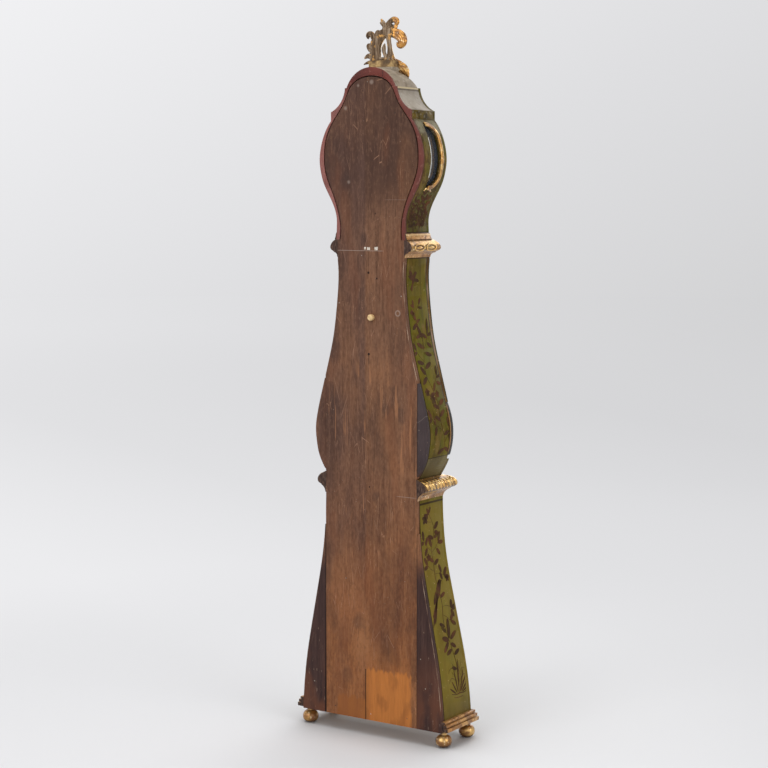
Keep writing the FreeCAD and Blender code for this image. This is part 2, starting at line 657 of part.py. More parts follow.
def make_trunk_door():
    rear = number("trunk_depth - front_board + door_gap")
    front = number("trunk_depth")
    door = door_solid(0, rear, front)
    hole = Part.makeCylinder(number("lens_radius + door_gap"), front - rear,
                             place_at(0, rear, number("belly_z")), Vector(0, -1, 0))
    shaped("trunk_door", only_solid(door.cut(hole)))
    ring = turned("lenticle_ring", [
        ("lens_ring_inner", "0"), ("lens_ring_outer", "0"), ("lens_ring_outer", "lens_ring_height / 3"),
        ("(lens_ring_outer + lens_ring_inner) / 2", "lens_ring_height"),
        ("lens_ring_inner + lens_ring_height / 2", "lens_ring_height"),
        ("lens_ring_inner", "lens_ring_height / 3")], depth="trunk_depth", z="belly_z", forward=True)
    keep(ring)
    keep(turned("lenticle_glass", [("0", "0"), ("lens_radius", "0"), ("lens_radius", "lens_glass"),
                                   ("0", "lens_glass")],
                depth="trunk_depth - lens_glass", z="belly_z", forward=True))


def hinge_pair(label, axis_x, axis_depth, heights, length, barrel, pin, fixed_boxes, moving_boxes,
               fixed_cut, moving_cut):
    """Lift-off hinges: the case keeps the lower knuckle and the pin, the door the upper one."""
    up = Vector(0, 0, 1)
    fixed, moving = [], []
    for middle in heights:
        low = place_at(axis_x, axis_depth, middle - length / 2)
        centre = place_at(axis_x, axis_depth, middle + number("door_gap"))
        knuckle = Part.makeCylinder(barrel, length / 2, low, up)
        stem = Part.makeCylinder(pin, length, low, up)
        shape = knuckle.fuse([stem] + [slab(*sides, middle - length / 2, middle) for sides in fixed_boxes])
        fixed.append(only_solid(shape.cut(fixed_cut).removeSplitter()))
        top = middle + length / 2
        gap = number("door_gap")
        upper = Part.makeCylinder(barrel, length / 2 - gap, centre, up)
        shape = upper.fuse([slab(*sides, middle + gap, top) for sides in moving_boxes])
        bore = Part.makeCylinder(pin + number("hinge_clearance"), length, low, up)
        moving.append(only_solid(shape.cut(moving_cut).cut(bore).removeSplitter()))
    shaped(label + "_pins", Part.makeCompound(fixed))
    return moving


def make_trunk_hinges():
    """Two hinges at the belly, where the edge of the door stands upright."""
    axis_x = number("trunk_axis_side")
    axis_depth = number("trunk_axis_depth")
    belly_z = number("belly_z")
    gap = number("door_gap")
    plate = number("leaf_plate")
    disc = number("door_disc_radius")
    rear = number("trunk_depth - front_board")
    front = number("trunk_depth")
    offset = number("trunk_hinge_offset")
    low_x = number("belly_half - side_board")
    trunk = prism(trunk_face(), 0, front)
    door = Part.makeCylinder(disc, front, place_at(0, 0, belly_z), Vector(0, -1, 0))
    fixed_boxes = [(low_x, disc + plate, rear - number("trunk_hinge_reach"), rear - gap),
                   (disc + 2 * gap, axis_x, rear - 2 * plate, axis_depth)]
    moving_boxes = [(low_x, disc + plate, rear + 2 * gap, front),
                    (disc - plate, axis_x, axis_depth, axis_depth + plate)]
    sweep = [belly_z - offset, belly_z + offset]
    leaves = hinge_pair("trunk_hinge", axis_x, axis_depth, sweep, number("trunk_hinge_height"),
                        number("trunk_barrel_radius"), number("trunk_pin_radius"), fixed_boxes,
                        moving_boxes, trunk, door)
    centre = place_at(-number("lock_side"), front, number("base_top_z + lock_rise"))
    plate_half = number("lock_plate_width") / 2
    tall = number("lock_plate_height")
    lock = Part.makeBox(2 * plate_half, number("lock_plate"), tall - 2 * plate_half,
                        centre + Vector(-plate_half, -number("lock_plate"), plate_half - tall / 2))
    ends = [Part.makeCylinder(plate_half, number("lock_plate"),
                              centre + Vector(0, 0, end * (tall / 2 - plate_half)), Vector(0, -1, 0))
            for end in (1, -1)]
    knob = Part.makeCylinder(number("lock_knob_radius") / 2, number("lock_knob_height"), centre,
                             Vector(0, -1, 0))
    grip = Part.makeSphere(number("lock_knob_radius"),
                           centre + Vector(0, -number("lock_knob_height"), 0))
    fittings = lock.fuse(ends + [knob, grip]).removeSplitter()
    shaped("trunk_door_fittings", Part.makeCompound(leaves + [only_solid(fittings)]))


# Back
def make_back():
    """The plank with its head, the wings that fill the belly and the foot beside it, the peg."""
    back = number("back_board")
    plank = number("plank_half")
    low_z = number("foot_height")
    joint_z = number("base_top_z")
    hood_z = number("hood_z")
    case = prism(base_face(), 0, back).fuse(prism(trunk_face(), 0, back))
    middle = slab(-plank, plank, 0, back, low_z, hood_z)
    board = case.common(middle).fuse(prism(head_face(), 0, back)).removeSplitter()
    peg_at = place_at(-number("peg_side"), 0, joint_z + number("peg_rise"))
    hole = Part.makeCylinder(number("peg_shank_radius + pipe_clearance"), back, peg_at, Vector(0, -1, 0))
    shaped("backboard", only_solid(board.cut(hole)))
    tip = number("wing_tip")
    reach = number("base_foot_half")
    wings = []
    for face, bounds in ((base_face(), (low_z, joint_z)), (trunk_face(), (joint_z, hood_z))):
        whole = prism(face, 0, back)
        for side in (1, -1):
            inner, outer = sorted((side * plank, side * reach))
            wing = whole.common(slab(inner, outer, 0, back, *bounds))
            edge, far = sorted((side * (plank + tip), side * reach))
            seen = whole.common(slab(edge, far, 0, back, *bounds)).BoundBox
            wings.append(only_solid(wing.common(slab(inner, outer, 0, back, seen.ZMin, seen.ZMax))))
    shaped("back_wings", Part.makeCompound(wings))
    keep(turned("wall_peg", [
        ("0", "-back_board"), ("peg_shank_radius", "-back_board"), ("peg_shank_radius", "0"),
        ("peg_radius", "0"), ("peg_radius", "peg_stand_out * 3 / 4"),
        ("peg_radius * 2 / 3", "peg_stand_out"), ("0", "peg_stand_out")],
        x="-peg_side", z="base_top_z + peg_rise"))
    pieces[-1].Placement.Rotation = Rotation(Vector(1, 0, 0), -90)


# Mouldings
def moulding_block(shares, z_from, z_to, half, side, depth, front, smooth):
    """The block whose edge follows a profile at both sides and at the front."""
    points = [(z_from + (z_to - z_from) * up, out) for up, out in shares]
    side_points = [Vector(half + side * out, 0, z) for z, out in points]
    front_points = [Vector(0, -(depth + front * out), z) for z, out in points]

    def run(row):
        edges = []
        for start, end in smooth:
            if end - start > 1:
                edges.append(curve_through(row[start:end + 1]))
            else:
                edges.append(Part.makeLine(row[start], row[end]))
        return edges
    across = face_between(run(side_points))
    rim = run(front_points)
    low, high = front_points[0], front_points[-1]
    rear_low = Vector(0, 0, low.z)
    rear_high = Vector(0, 0, high.z)
    rim += [Part.makeLine(high, rear_high), Part.makeLine(rear_high, rear_low), Part.makeLine(rear_low, low)]
    along = Part.Face(Part.Wire(Part.__sortEdges__(rim)))
    wide_by = half + side
    along.translate(Vector(-wide_by, number("rear_y"), 0))
    return prism(across, 0, depth + front).common(along.extrude(Vector(2 * wide_by, 0, 0)))


def make_mouldings():
    deep = number("trunk_depth")
    hood_z = number("hood_z")
    trunk = prism(trunk_face(), 0, deep)
    base = prism(base_face(), 0, number("base_foot_depth")).common(base_depth_prism(0, 0))
    waist = moulding_block(WAIST_PROFILE_SHARES, hood_z - number("waist_moulding_drop"), hood_z,
                           number("neck_half"), number("waist_moulding_side"), deep,
                           number("waist_moulding_front"), [(0, 2), (2, 3), (3, 4), (4, 7)])
    shaped("waist_moulding", only_solid(waist.cut(trunk)))
    top_z = number("base_top_z + lap_rise")
    lower = moulding_block(LOWER_PROFILE_SHARES, top_z - number("lower_moulding_height"), top_z,
                           number("base_top_half"), number("lower_moulding_side"), deep,
                           number("lower_moulding_front"), [(0, 2), (2, 3), (3, 4), (4, 8)])
    shaped("lower_moulding", only_solid(lower.cut(trunk.fuse(base))))
    low_z = number("foot_height + base_moulding_rise")
    tall = number("base_moulding_height")
    half = number("base_foot_half")
    depth = number("base_foot_depth")
    side, front = number("base_moulding_side"), number("base_moulding_front")
    groove = number("base_groove")
    core = slab(-half - side / 2 + groove, half + side / 2 - groove, 0, depth + front / 2 - groove,
                low_z, low_z + tall)
    steps = [slab(-half - side * out, half + side * out, 0, depth + front * out,
                  low_z + tall * start, low_z + tall * end) for start, end, out in BASE_STEP_SHARES]
    stepped = core.fuse(steps).removeSplitter()
    shaped("base_moulding", only_solid(stepped.cut(base)))


# Hood
def window_face(grow=0.0):
    """A side window: upright at the rear, with a round front, in the plane across."""
    low_z = number("hood_z + window_rise - window_height / 2") - grow
    high_z = number("hood_z + window_rise + window_height / 2") + grow
    rear = -number("window_rear_depth") + grow
    front = -number("window_rear_depth + window_width") - grow
    bend = number("window_corner") + grow
    half = math.sin(math.radians(FULL_TURN / 8))
    arcs = []
    for z, side in ((low_z, 1), (high_z, -1)):
        centre = Vector(0, front + bend, z + side * bend)
        arcs.append((centre + Vector(0, 0, -side * bend),
                     centre + Vector(0, -half * bend, -side * half * bend),
                     centre + Vector(0, -bend, 0)))
    low, high = arcs
    rear_low = Vector(0, rear, low_z)
    rear_high = Vector(0, rear, high_z)
    edges = [Part.makeLine(rear_low, low[0]), Part.Arc(*low).toShape(), Part.makeLine(low[2], high[2]),
             Part.Arc(*reversed(high)).toShape(), Part.makeLine(high[0], rear_high),
             Part.makeLine(rear_high, rear_low)]
    face = Part.Face(Part.Wire(Part.__sortEdges__(edges)))
    face.translate(Vector(0, number("rear_y"), 0))
    return face


def make_hood_shell():
    rim = number("rim_board")
    depth = number("hood_depth")
    front = number("hood_depth - hood_front_board")
    board = number("hood_side_board")
    wide_by = number("bulge_half")
    eaves_z = number("hood_z + band_rise")
    outer = hood_face()
    sides = prism(outer, rim, front).cut(prism(shifted_inward(outer, board), rim, front))
    window = window_face()
    opening = window.extrude(Vector(2 * wide_by, 0, 0))
    bead = number("window_bead")
    pane = number("pane_thickness")
    inner = shifted_inward(outer, board)
    panes, beads = [], []
    for side, name in ((1, "left"), (-1, "right")):
        low, high = min(0, side * wide_by), max(0, side * wide_by)
        half = slab(low, high, rim, front, number("hood_z"), eaves_z)
        hole = opening if side > 0 else opening.mirror(Vector(0, 0, 0), Vector(1, 0, 0))
        shaped(f"hood_side_{name}", only_solid(sides.common(half).cut(hole)))
        glazing = window_face(bead).extrude(Vector(side * 2 * wide_by, 0, 0))
        skin = prism(inner, rim, front).cut(prism(shifted_inward(outer, board + pane), rim, front))
        panes.append(only_solid(skin.common(half).common(glazing)))
        around = window_face(bead).cut(window_face(-bead / 2)).extrude(Vector(side * 2 * wide_by, 0, 0))
        proud = prism(hood_face(bead), rim, front).cut(prism(outer, rim, front))
        proud = proud.common(slab(min(0, side * 2 * wide_by), max(0, side * 2 * wide_by),
                                  number("window_rear_depth + window_bead / 2"), front,
                                  number("hood_z"), eaves_z))
        beads.append(only_solid(proud.common(around)))
    shaped("hood_side_glass", Part.makeCompound(panes))
    shaped("hood_window_mouldings", Part.makeCompound(beads))
    head = prism(head_face(number("head_gap")), 0, front)
    dome_z = number("fillet_z + fillet_height")
    inner_z = number("fillet_z") - board
    room = head.common(slab(-wide_by, wide_by, 0, front, number("hood_z"), inner_z).fuse(hip(board, inner_z)))
    above = slab(-wide_by, wide_by, rim, front, eaves_z, dome_z)
    above = above.fuse(slab(-wide_by, wide_by, rim, depth, dome_z, number("roof_top_z")))
    shaped("hood_roof", only_solid(hood_envelope().common(above).cut(room).removeSplitter()))
    shaped("hood_rear_rim", only_solid(prism(outer, 0, rim).cut(head)))
    dial_hole = Part.makeCylinder(number("dial_opening_radius"), depth, place_at(0, 0, number("dial_z")),
                                  Vector(0, -1, 0))
    below = slab(-wide_by, wide_by, front, depth, number("hood_z"), dome_z)
    shaped("hood_front", only_solid(prism(outer, front, depth).common(below).cut(dial_hole)))
    hood_z = number("hood_z")
    block_around = moulding_block(HOOD_PROFILE_SHARES, hood_z, hood_z + number("hood_moulding_height"),
                                  number("hood_foot_half"), number("hood_moulding_side"), depth,
                                  number("hood_moulding_front"), [(0, 1), (1, 2), (2, 3), (3, 4), (4, 5)])
    shaped("hood_base_moulding", only_solid(block_around.cut(prism(outer, 0, depth))))


def make_crest():
    """A plinth on the dome, the pierced carving that stands on it, and a leaf that hangs from it."""
    rear = number("plinth_rear_depth")
    half = number("plinth_half")
    off = number("plinth_side")
    top_z = number("plinth_top_z")
    hood = hood_envelope()
    plinth = slab(off - half, off + half, rear, rear + number("plinth_depth"),
                  number("roof_top_z") - number("plinth_seat"), top_z)
    shaped("crest_plinth", only_solid(plinth.cut(hood)))
    wide_by = number("crest_width")
    tall = number("crest_height")
    back = number("crest_rear_depth")
    thick = number("crest_thickness")

    def spots(shares):
        return [Vector(wide_by * across, 0, top_z + tall * up) for across, up in shares]

    def leaf(shares, depth_from, depth_to):
        loop = Part.BSplineCurve()
        loop.interpolate(spots(shares), PeriodicFlag=True)
        return prism(Part.Face(Part.Wire(loop.toShape())), depth_from, depth_to)
    edges = [curve_through(spots(lobe)) for lobe in CREST_LOBE_SHARES]
    first = spots(CREST_LOBE_SHARES[0])[0]
    last = spots(CREST_LOBE_SHARES[-1])[-1]
    board = Part.Face(Part.Wire(edges + [Part.makeLine(last, first)]))
    carving = prism(board, back, back + thick).cut(leaf(CREST_HOLE_SHARES, back, back + thick))
    front = number("plinth_rear_depth + plinth_depth")
    droop = leaf(DROOP_SHARES, front, front + number("leaf_thickness")).cut(hood)
    shaped("crest_carving", Part.makeCompound([only_solid(carving), only_solid(droop)]))


def make_hood_door():
    """The glazed ring in front of the dial, hinged at the viewer's right."""
    keep(turned("hood_door_ring", [
        ("ring_inner_radius", "glass_thickness"), ("ring_inner_radius + ring_rebate", "glass_thickness"),
        ("ring_inner_radius + ring_rebate", "0"), ("ring_outer_radius", "0"),
        ("ring_outer_radius", "ring_thickness * 2 / 3"),
        ("ring_outer_radius - ring_thickness / 3", "ring_thickness"),
        ("ring_inner_radius + ring_thickness", "ring_thickness"),
        ("ring_inner_radius", "ring_thickness / 2")],
        depth="ring_depth", z="dial_z", forward=True))
    pane = "ring_inner_radius + ring_rebate - pipe_clearance"
    keep(turned("hood_door_glass", [("0", "0"), (pane, "0"), (pane, "glass_thickness"),
                                    ("0", "glass_thickness")],
                depth="ring_depth", z="dial_z", forward=True))
    axis_x = number("hood_axis_side")
    axis_depth = number("hood_axis_depth")
    gap = number("door_gap")
    plate = number("leaf_plate")
    dial_z = number("dial_z")
    outer = number("ring_outer_radius")
    depth = number("hood_depth")
    face = number("ring_depth + ring_thickness")
    reach = number("hood_hinge_height") / 2
    offset = number("hood_hinge_offset")
    ring = Part.makeCylinder(outer, face, place_at(0, 0, dial_z), Vector(0, -1, 0))
    fixed_boxes = [(axis_x - plate, axis_x + reach, depth, depth + plate),
                   (axis_x - plate, axis_x + plate, depth, axis_depth)]
    ring_edge = math.sqrt(outer ** 2 - (offset + reach) ** 2)
    moving_boxes = [(ring_edge - reach, axis_x, face, face + plate),
                    (axis_x - plate, axis_x + plate, axis_depth, face + plate)]
    nothing = slab(-plate, plate, -plate, 0, 0, plate)
    leaves = hinge_pair("hood_hinge", axis_x, axis_depth, [dial_z - offset, dial_z + offset],
                        number("hood_hinge_height"), number("hood_barrel_radius"),
                        number("hood_pin_radius"), fixed_boxes, moving_boxes, nothing, ring)
    middle = number("(ring_inner_radius + ring_outer_radius) / 2")
    spot = place_at(-middle, face, dial_z)
    knob = Part.makeCylinder(number("hood_knob_radius") / 2, number("hood_knob_height"), spot,
                             Vector(0, -1, 0))
    grip = Part.makeSphere(number("hood_knob_radius"), spot + Vector(0, -number("hood_knob_height"), 0))
    shaped("hood_door_fittings", Part.makeCompound(leaves + [only_solid(knob.fuse(grip))]))


# Movement
def make_seat():
    inner = "neck_half - side_board"
    slots = []
    for side in (1, -1):
        x = f"{side} * line_side - slot_width / 2"
        slots.append(block(f"seat_slot_{side + 1}", "slot_width", "slot_depth", "seat_thickness", x,
                           "line_depth + slot_depth / 2", "seat_z - seat_thickness"))
    board = block("seat_blank", f"2 * ({inner})", "seat_depth", "seat_thickness", f"-({inner})",
                  "seat_rear_depth + seat_depth", "seat_z - seat_thickness")
    seat = less("seat_board", board, joined("seat_slots", slots))
    foot = "hood_z - cheek_grip"
    cheeks = [block(f"cheek_{name}", "cheek_thickness", "cheek_depth",
                    f"seat_z - seat_thickness - ({foot})", x, "cheek_rear_depth + cheek_depth", foot)
              for name, x in (("left", f"{inner} - cheek_thickness"), ("right", f"-({inner})"))]
    keep(group_of("seatboard", [seat] + cheeks))


def third_place():
    """Where the third arbor stands so that it meshes with the centre and escape arbors."""
    near = number("third_module") * (CENTRE_TEETH + PINION_LEAVES) / 2
    far = number("escape_module") * (THIRD_TEETH + PINION_LEAVES) / 2
    rise = number("seconds_rise")
    up = (near ** 2 - far ** 2 + rise ** 2) / (2 * rise)
    return -math.sqrt(near ** 2 - up ** 2), up


def drum_drop():
    """How far the drum arbors lie below the centre arbor."""
    reach = number("great_module") * (GREAT_TEETH + PINION_LEAVES) / 2
    return math.sqrt(reach ** 2 - number("drum_side") ** 2)


def bore_through(shape, spots, radius, depth_from, depth_to):
    for x, z in spots:
        shape = shape.cut(Part.makeCylinder(radius, depth_to - depth_from, place_at(x, depth_from, z),
                                            Vector(0, -1, 0)))
    return shape


def make_plates():
    clear = number("arbor_clearance")
    dial_z = number("dial_z")
    half = number("plate_width") / 2
    low = dial_z - number("plate_below")
    high = dial_z + number("plate_above")
    third_x, third_up = third_place()
    thin = [(third_x, dial_z + third_up), (0, number("escape_z")), (0, number("pivot_z")),
            (-number("hammer_side"), dial_z + number("hammer_rise"))]
    thick = [(side * number("drum_side"), dial_z - drum_drop()) for side in (1, -1)]
    minute_drop = number("minute_module") * (CANNON_TEETH + MINUTE_TEETH) / 2
    for label in ("back_plate", "front_plate"):
        start = number(label + "_depth")
        end = start + number("plate_thickness")
        plate = slab(-half, half, start, end, low, high)
        plate = bore_through(plate, thin, number("pivot_radius") + clear, start, end)
        plate = bore_through(plate, thick, number("winding_radius") + clear, start, end)
        plate = bore_through(plate, [(0, dial_z)], number("arbor_radius") + clear, start, end)
        if label == "front_plate":
            plate = bore_through(plate, [(0, dial_z - minute_drop)], number("pivot_radius") + clear,
                                 start, end)
        shaped(label, only_solid(plate))
    inset = number("pillar_inset")
    start = number("back_plate_depth + plate_thickness")
    pillars = []
    for side, rise in CORNERS:
        z = high - inset if rise > 0 else low + inset
        pillars.append(Part.makeCylinder(number("pillar_radius"), number("train_room"),
                                         place_at(side * (half - inset), start, z), Vector(0, -1, 0)))
    shaped("plate_pillars", Part.makeCompound(pillars))


def toothed(teeth, root, tip, depth_from, depth_to, x, z, phase, slim=TOOTH_HALF_SHARE, lean=0.0):
    """A toothed disc that faces forward, with a tooth at the phase angle."""
    pitch = 2 * math.pi / teeth
    points = []
    for tooth in range(teeth):
        middle = phase + tooth * pitch
        for radius, turn in ((root, -slim), (tip, lean - slim / 2), (tip, lean + slim / 2), (root, slim)):
            angle = middle + turn * pitch
            points.append(Vector(radius * math.cos(angle), 0, radius * math.sin(angle)))
    face = Part.Face(Part.makePolygon(points + points[:1]))
    disc = face.extrude(Vector(0, depth_from - depth_to, 0))
    disc.translate(place_at(x, depth_from, z))
    return disc


def crossed(disc, x, z, rim_radius, hub_radius, depth_from, depth_to):
    """Lightening holes between the rim and the hub."""
    holes = WEB_HOLES
    middle = (rim_radius + hub_radius) / 2
    radius = min((rim_radius - hub_radius) * WEB_HOLE_SHARE,
                 middle * math.sin(math.pi / holes) * SPOKE_HOLE_SHARE)
    angles = [2 * math.pi * hole / holes for hole in range(holes)]
    spots = [(x + middle * math.cos(angle), z + middle * math.sin(angle)) for angle in angles]
    return bore_through(disc, spots, radius, depth_from, depth_to)


def arbor(x, z, radius, depth_from, depth_to):
    return Part.makeCylinder(radius, depth_to - depth_from, place_at(x, depth_from, z), Vector(0, -1, 0))


def wheel_sizes(module, teeth):
    """Root and tip radius of a wheel or pinion."""
    middle = module * teeth / 2
    return middle - DEDENDUM_SHARE * module, middle + ADDENDUM_SHARE * module


def make_going_train():
    """Great, centre, third and escape wheels, with their pinions in mesh."""
    dial_z = number("dial_z")
    thick = number("wheel_thickness")
    leaf = number("pinion_length")
    rear = number("back_plate_depth")
    front = number("plates_front")
    pivot = number("pivot_radius")
    mid = number("arbor_radius")
    drum_x, drum_z = number("drum_side"), dial_z - drum_drop()
    third_x, third_up = third_place()
    third_z = dial_z + third_up
    great = number("great_module")
    third = number("third_module")
    escape = number("escape_module")
    to_great = math.atan2(drum_z - dial_z, drum_x)
    to_third = math.atan2(third_up, third_x)
    to_escape = math.atan2(number("escape_z") - third_z, -third_x)

    start = number("great_wheel_depth")
    root, tip = wheel_sizes(great, GREAT_TEETH)
    wheel = toothed(GREAT_TEETH, root, tip, start, start + thick, drum_x, drum_z, to_great + math.pi)
    wheel = crossed(wheel, drum_x, drum_z, root, number("winding_radius") * 2, start, start + thick)
    wheel = bore_through(wheel, [(drum_x, drum_z)], number("winding_radius + arbor_clearance"), start,
                         start + thick)
    shaped("going_great_wheel", only_solid(wheel))

    root, tip = wheel_sizes(great, PINION_LEAVES)
    pinion = toothed(PINION_LEAVES, root, tip, start - thick / 2, start - thick / 2 + leaf, 0, dial_z,
                     to_great + math.pi / PINION_LEAVES)
    start = number("centre_wheel_depth")
    root, tip = wheel_sizes(third, CENTRE_TEETH)
    wheel = toothed(CENTRE_TEETH, root, tip, start, start + thick, 0, dial_z, to_third)
    wheel = crossed(wheel, 0, dial_z, root, mid * 2, start, start + thick)
    end = number("cannon_depth + centre_arbor_reach")
    shaped("centre_wheel", only_solid(pinion.fuse([wheel, arbor(0, dial_z, mid, rear, end)])))

    root, tip = wheel_sizes(third, PINION_LEAVES)
    pinion = toothed(PINION_LEAVES, root, tip, start - thick, start - thick + leaf, third_x, third_z,
                     to_third + math.pi + math.pi / PINION_LEAVES)
    start = number("third_wheel_depth")
    root, tip = wheel_sizes(escape, THIRD_TEETH)
    wheel = toothed(THIRD_TEETH, root, tip, start, start + thick, third_x, third_z, to_escape)
    wheel = crossed(wheel, third_x, third_z, root, mid * 2, start, start + thick)
    shaped("third_wheel", only_solid(pinion.fuse([wheel, arbor(third_x, third_z, pivot, rear, front)])))

    root, tip = wheel_sizes(escape, PINION_LEAVES)
    escape_z = number("escape_z")
    pinion = toothed(PINION_LEAVES, root, tip, start - thick, start - thick + leaf, 0, escape_z,
                     to_escape + math.pi + math.pi / PINION_LEAVES)
    start = number("escape_wheel_depth")
    tip = number("escape_tip_radius")
    wheel = toothed(ESCAPE_TEETH, tip - number("escape_tooth"), tip, start, start + thick, 0, escape_z,
                    math.pi / 2, slim=ESCAPE_TOOTH_HALF_SHARE, lean=ESCAPE_LEAN_SHARE)
    end = number("dial_depth + dial_thickness * 2 + hand_thickness")
    shaped("escape_wheel", only_solid(pinion.fuse([wheel, arbor(0, escape_z, pivot, rear, end)])))


def make_motion_work():
    """Cannon pipe with the minute hand, minute wheel, hour wheel with its pipe."""
    dial_z = number("dial_z")
    thick = number("wheel_thickness")
    clear = number("pipe_clearance")
    start = number("cannon_depth")
    coarse = number("minute_module")
    drop = coarse * (CANNON_TEETH + MINUTE_TEETH) / 2
    fine = 2 * drop / (MINUTE_LEAVES + HOUR_TEETH)
    down = -math.pi / 2
    bore = number("arbor_radius") + clear
    outside = bore + number("cannon_wall")
    hour_start = start + thick + number("hour_wheel_gap") / 2
    seconds_front = number("dial_depth + dial_thickness * 2 + hand_thickness")
    hour_hand_at = seconds_front + number("hand_thickness")
    minute_hand_at = hour_hand_at + 2 * number("hand_thickness")
    end = minute_hand_at + number("hand_thickness")

    root, tip = wheel_sizes(coarse, CANNON_TEETH)
    cannon = toothed(CANNON_TEETH, root, tip, start, start + thick, 0, dial_z, down + math.pi / CANNON_TEETH)
    cannon = cannon.fuse([arbor(0, dial_z, outside, start, end),
                          hand_solid("minute", minute_hand_at, outside)])
    cannon = cannon.removeSplitter().cut(arbor(0, dial_z, bore, start, end))
    shaped("minute_hand", only_solid(cannon))

    root, tip = wheel_sizes(coarse, MINUTE_TEETH)
    wheel = toothed(MINUTE_TEETH, root, tip, start, start + thick, 0, dial_z - drop, -down)
    root, tip = wheel_sizes(fine, MINUTE_LEAVES)
    pinion = toothed(MINUTE_LEAVES, root, tip, start + thick, hour_start + thick, 0, dial_z - drop, -down)
    stud = arbor(0, dial_z - drop, number("pivot_radius"), number("front_plate_depth"), hour_start + thick)
    shaped("minute_wheel", only_solid(wheel.fuse([pinion, stud])))

    root, tip = wheel_sizes(fine, HOUR_TEETH)
    wheel = toothed(HOUR_TEETH, root, tip, hour_start, hour_start + thick, 0, dial_z,
                    down + math.pi / HOUR_TEETH)
    inside = outside + clear
    pipe = inside + number("hour_pipe_wall")
    wheel = wheel.fuse(arbor(0, dial_z, pipe, hour_start, hour_hand_at))
    wheel = wheel.cut(arbor(0, dial_z, inside, hour_start, hour_hand_at))
    shaped("hour_wheel", only_solid(wheel))
    hand = hand_solid("hour", hour_hand_at, pipe).cut(arbor(0, dial_z, inside, 0, end))
    shaped("hour_hand", only_solid(hand))
    seconds_at = number("dial_depth + dial_thickness * 2")
    shaft = number("pivot_radius")
    seconds = seconds_hand(seconds_at, shaft)
    shaped("seconds_hand", only_solid(seconds))


def hand_solid(kind, depth, boss):
    """A hand with a round boss, a waisted blade and an open ring, its point at twelve."""
    length = number(f"{kind}_hand_length")
    width = number(f"{kind}_hand_width")
    thick = number("hand_thickness")
    dial_z = number("dial_z")
    edge = boss + number("boss_wall")
    stem = width * HAND_STEM_SHARE
    ring_z = length * HAND_RING_RISE_SHARE
    half = [(stem, 0), (stem, ring_z - width / 2), (width / 2, ring_z),
            (width * HAND_NECK_SHARE, ring_z + width / 2),
            (width * HAND_TIP_SHARE, length * HAND_TIP_RISE_SHARE)]
    points = [Vector(x, 0, z) for x, z in half] + [Vector(0, 0, length)]
    points += mirrored([Vector(x, 0, z) for x, z in half])
    face = Part.Face(Part.makePolygon(points + points[:1]))
    blade = face.extrude(Vector(0, -thick, 0))
    blade.translate(place_at(0, depth, dial_z))
    blade = blade.fuse(arbor(0, dial_z, edge, depth, depth + thick))
    return blade.cut(arbor(0, dial_z + ring_z, width * HAND_HOLE_SHARE, depth, depth + thick))


def seconds_hand(depth, shaft):
    """A thin pointer with a short tail on the escape arbor."""
    z = number("escape_z")
    thick = number("hand_thickness")
    length = number("seconds_hand_length")
    half = number("seconds_hand_width") / 2
    points = [Vector(-half, 0, -length / 3), Vector(half, 0, -length / 3), Vector(half / 3, 0, length),
              Vector(-half / 3, 0, length)]
    blade = Part.Face(Part.makePolygon(points + points[:1])).extrude(Vector(0, -thick, 0))
    blade.translate(place_at(0, depth, z))
    blade = blade.fuse(arbor(0, z, shaft + number("boss_wall"), depth, depth + thick))
    return blade.cut(arbor(0, z, shaft + number("pipe_clearance"), depth, depth + thick))


def make_dial():
    """A round dial on four feet, with holes for the arbors and the key."""
    dial_z = number("dial_z")
    start = number("dial_depth")
    end = start + number("dial_thickness")
    dial = arbor(0, dial_z, number("dial_radius"), start, end)
    dial = bore_through(dial, [(0, dial_z)], number("dial_centre_hole"), start, end)
    dial = bore_through(dial, [(side * number("drum_side"), dial_z - drum_drop()) for side in (1, -1)],
                        number("winding_hole"), start, end)
    dial = bore_through(dial, [(0, number("escape_z"))], number("seconds_hole"), start, end)
    feet = [arbor(side * number("dial_foot_side"), dial_z + rise * number("dial_foot_drop"),
                  number("dial_foot_radius"), number("plates_front"), start) for side, rise in CORNERS]
    shaped("dial_plate", only_solid(dial.fuse(feet)))


def make_drums():
    """The winding drums on their squared arbors; the strike drum carries its wheel."""
    dial_z = number("dial_z")
    z = dial_z - drum_drop()
    radius = number("drum_radius")
    flange = number("flange_radius")
    wall = number("flange_thickness")
    start = number("drum_depth") - wall
    end = number("drum_depth + drum_length") + wall
    spindle = number("winding_radius")
    face = number("dial_depth + dial_thickness * 2")
    for side, label in ((1, "going_drum"), (-1, "strike_drum")):
        x = side * number("drum_side")
        parts = [arbor(x, z, flange, start, start + wall), arbor(x, z, flange, end - wall, end),
                 arbor(x, z, spindle, number("back_plate_depth"), face)]
        if side < 0:
            root, tip = wheel_sizes(number("strike_module"), STRIKE_TEETH)
            thick = number("wheel_thickness")
            wheel = toothed(STRIKE_TEETH, root, tip, start - thick, start, x, z, 0)
            parts.append(crossed(wheel, x, z, root, spindle * 2, start - thick, start))
        shaped(label, only_solid(arbor(x, z, radius, start, end).fuse(parts).removeSplitter()))


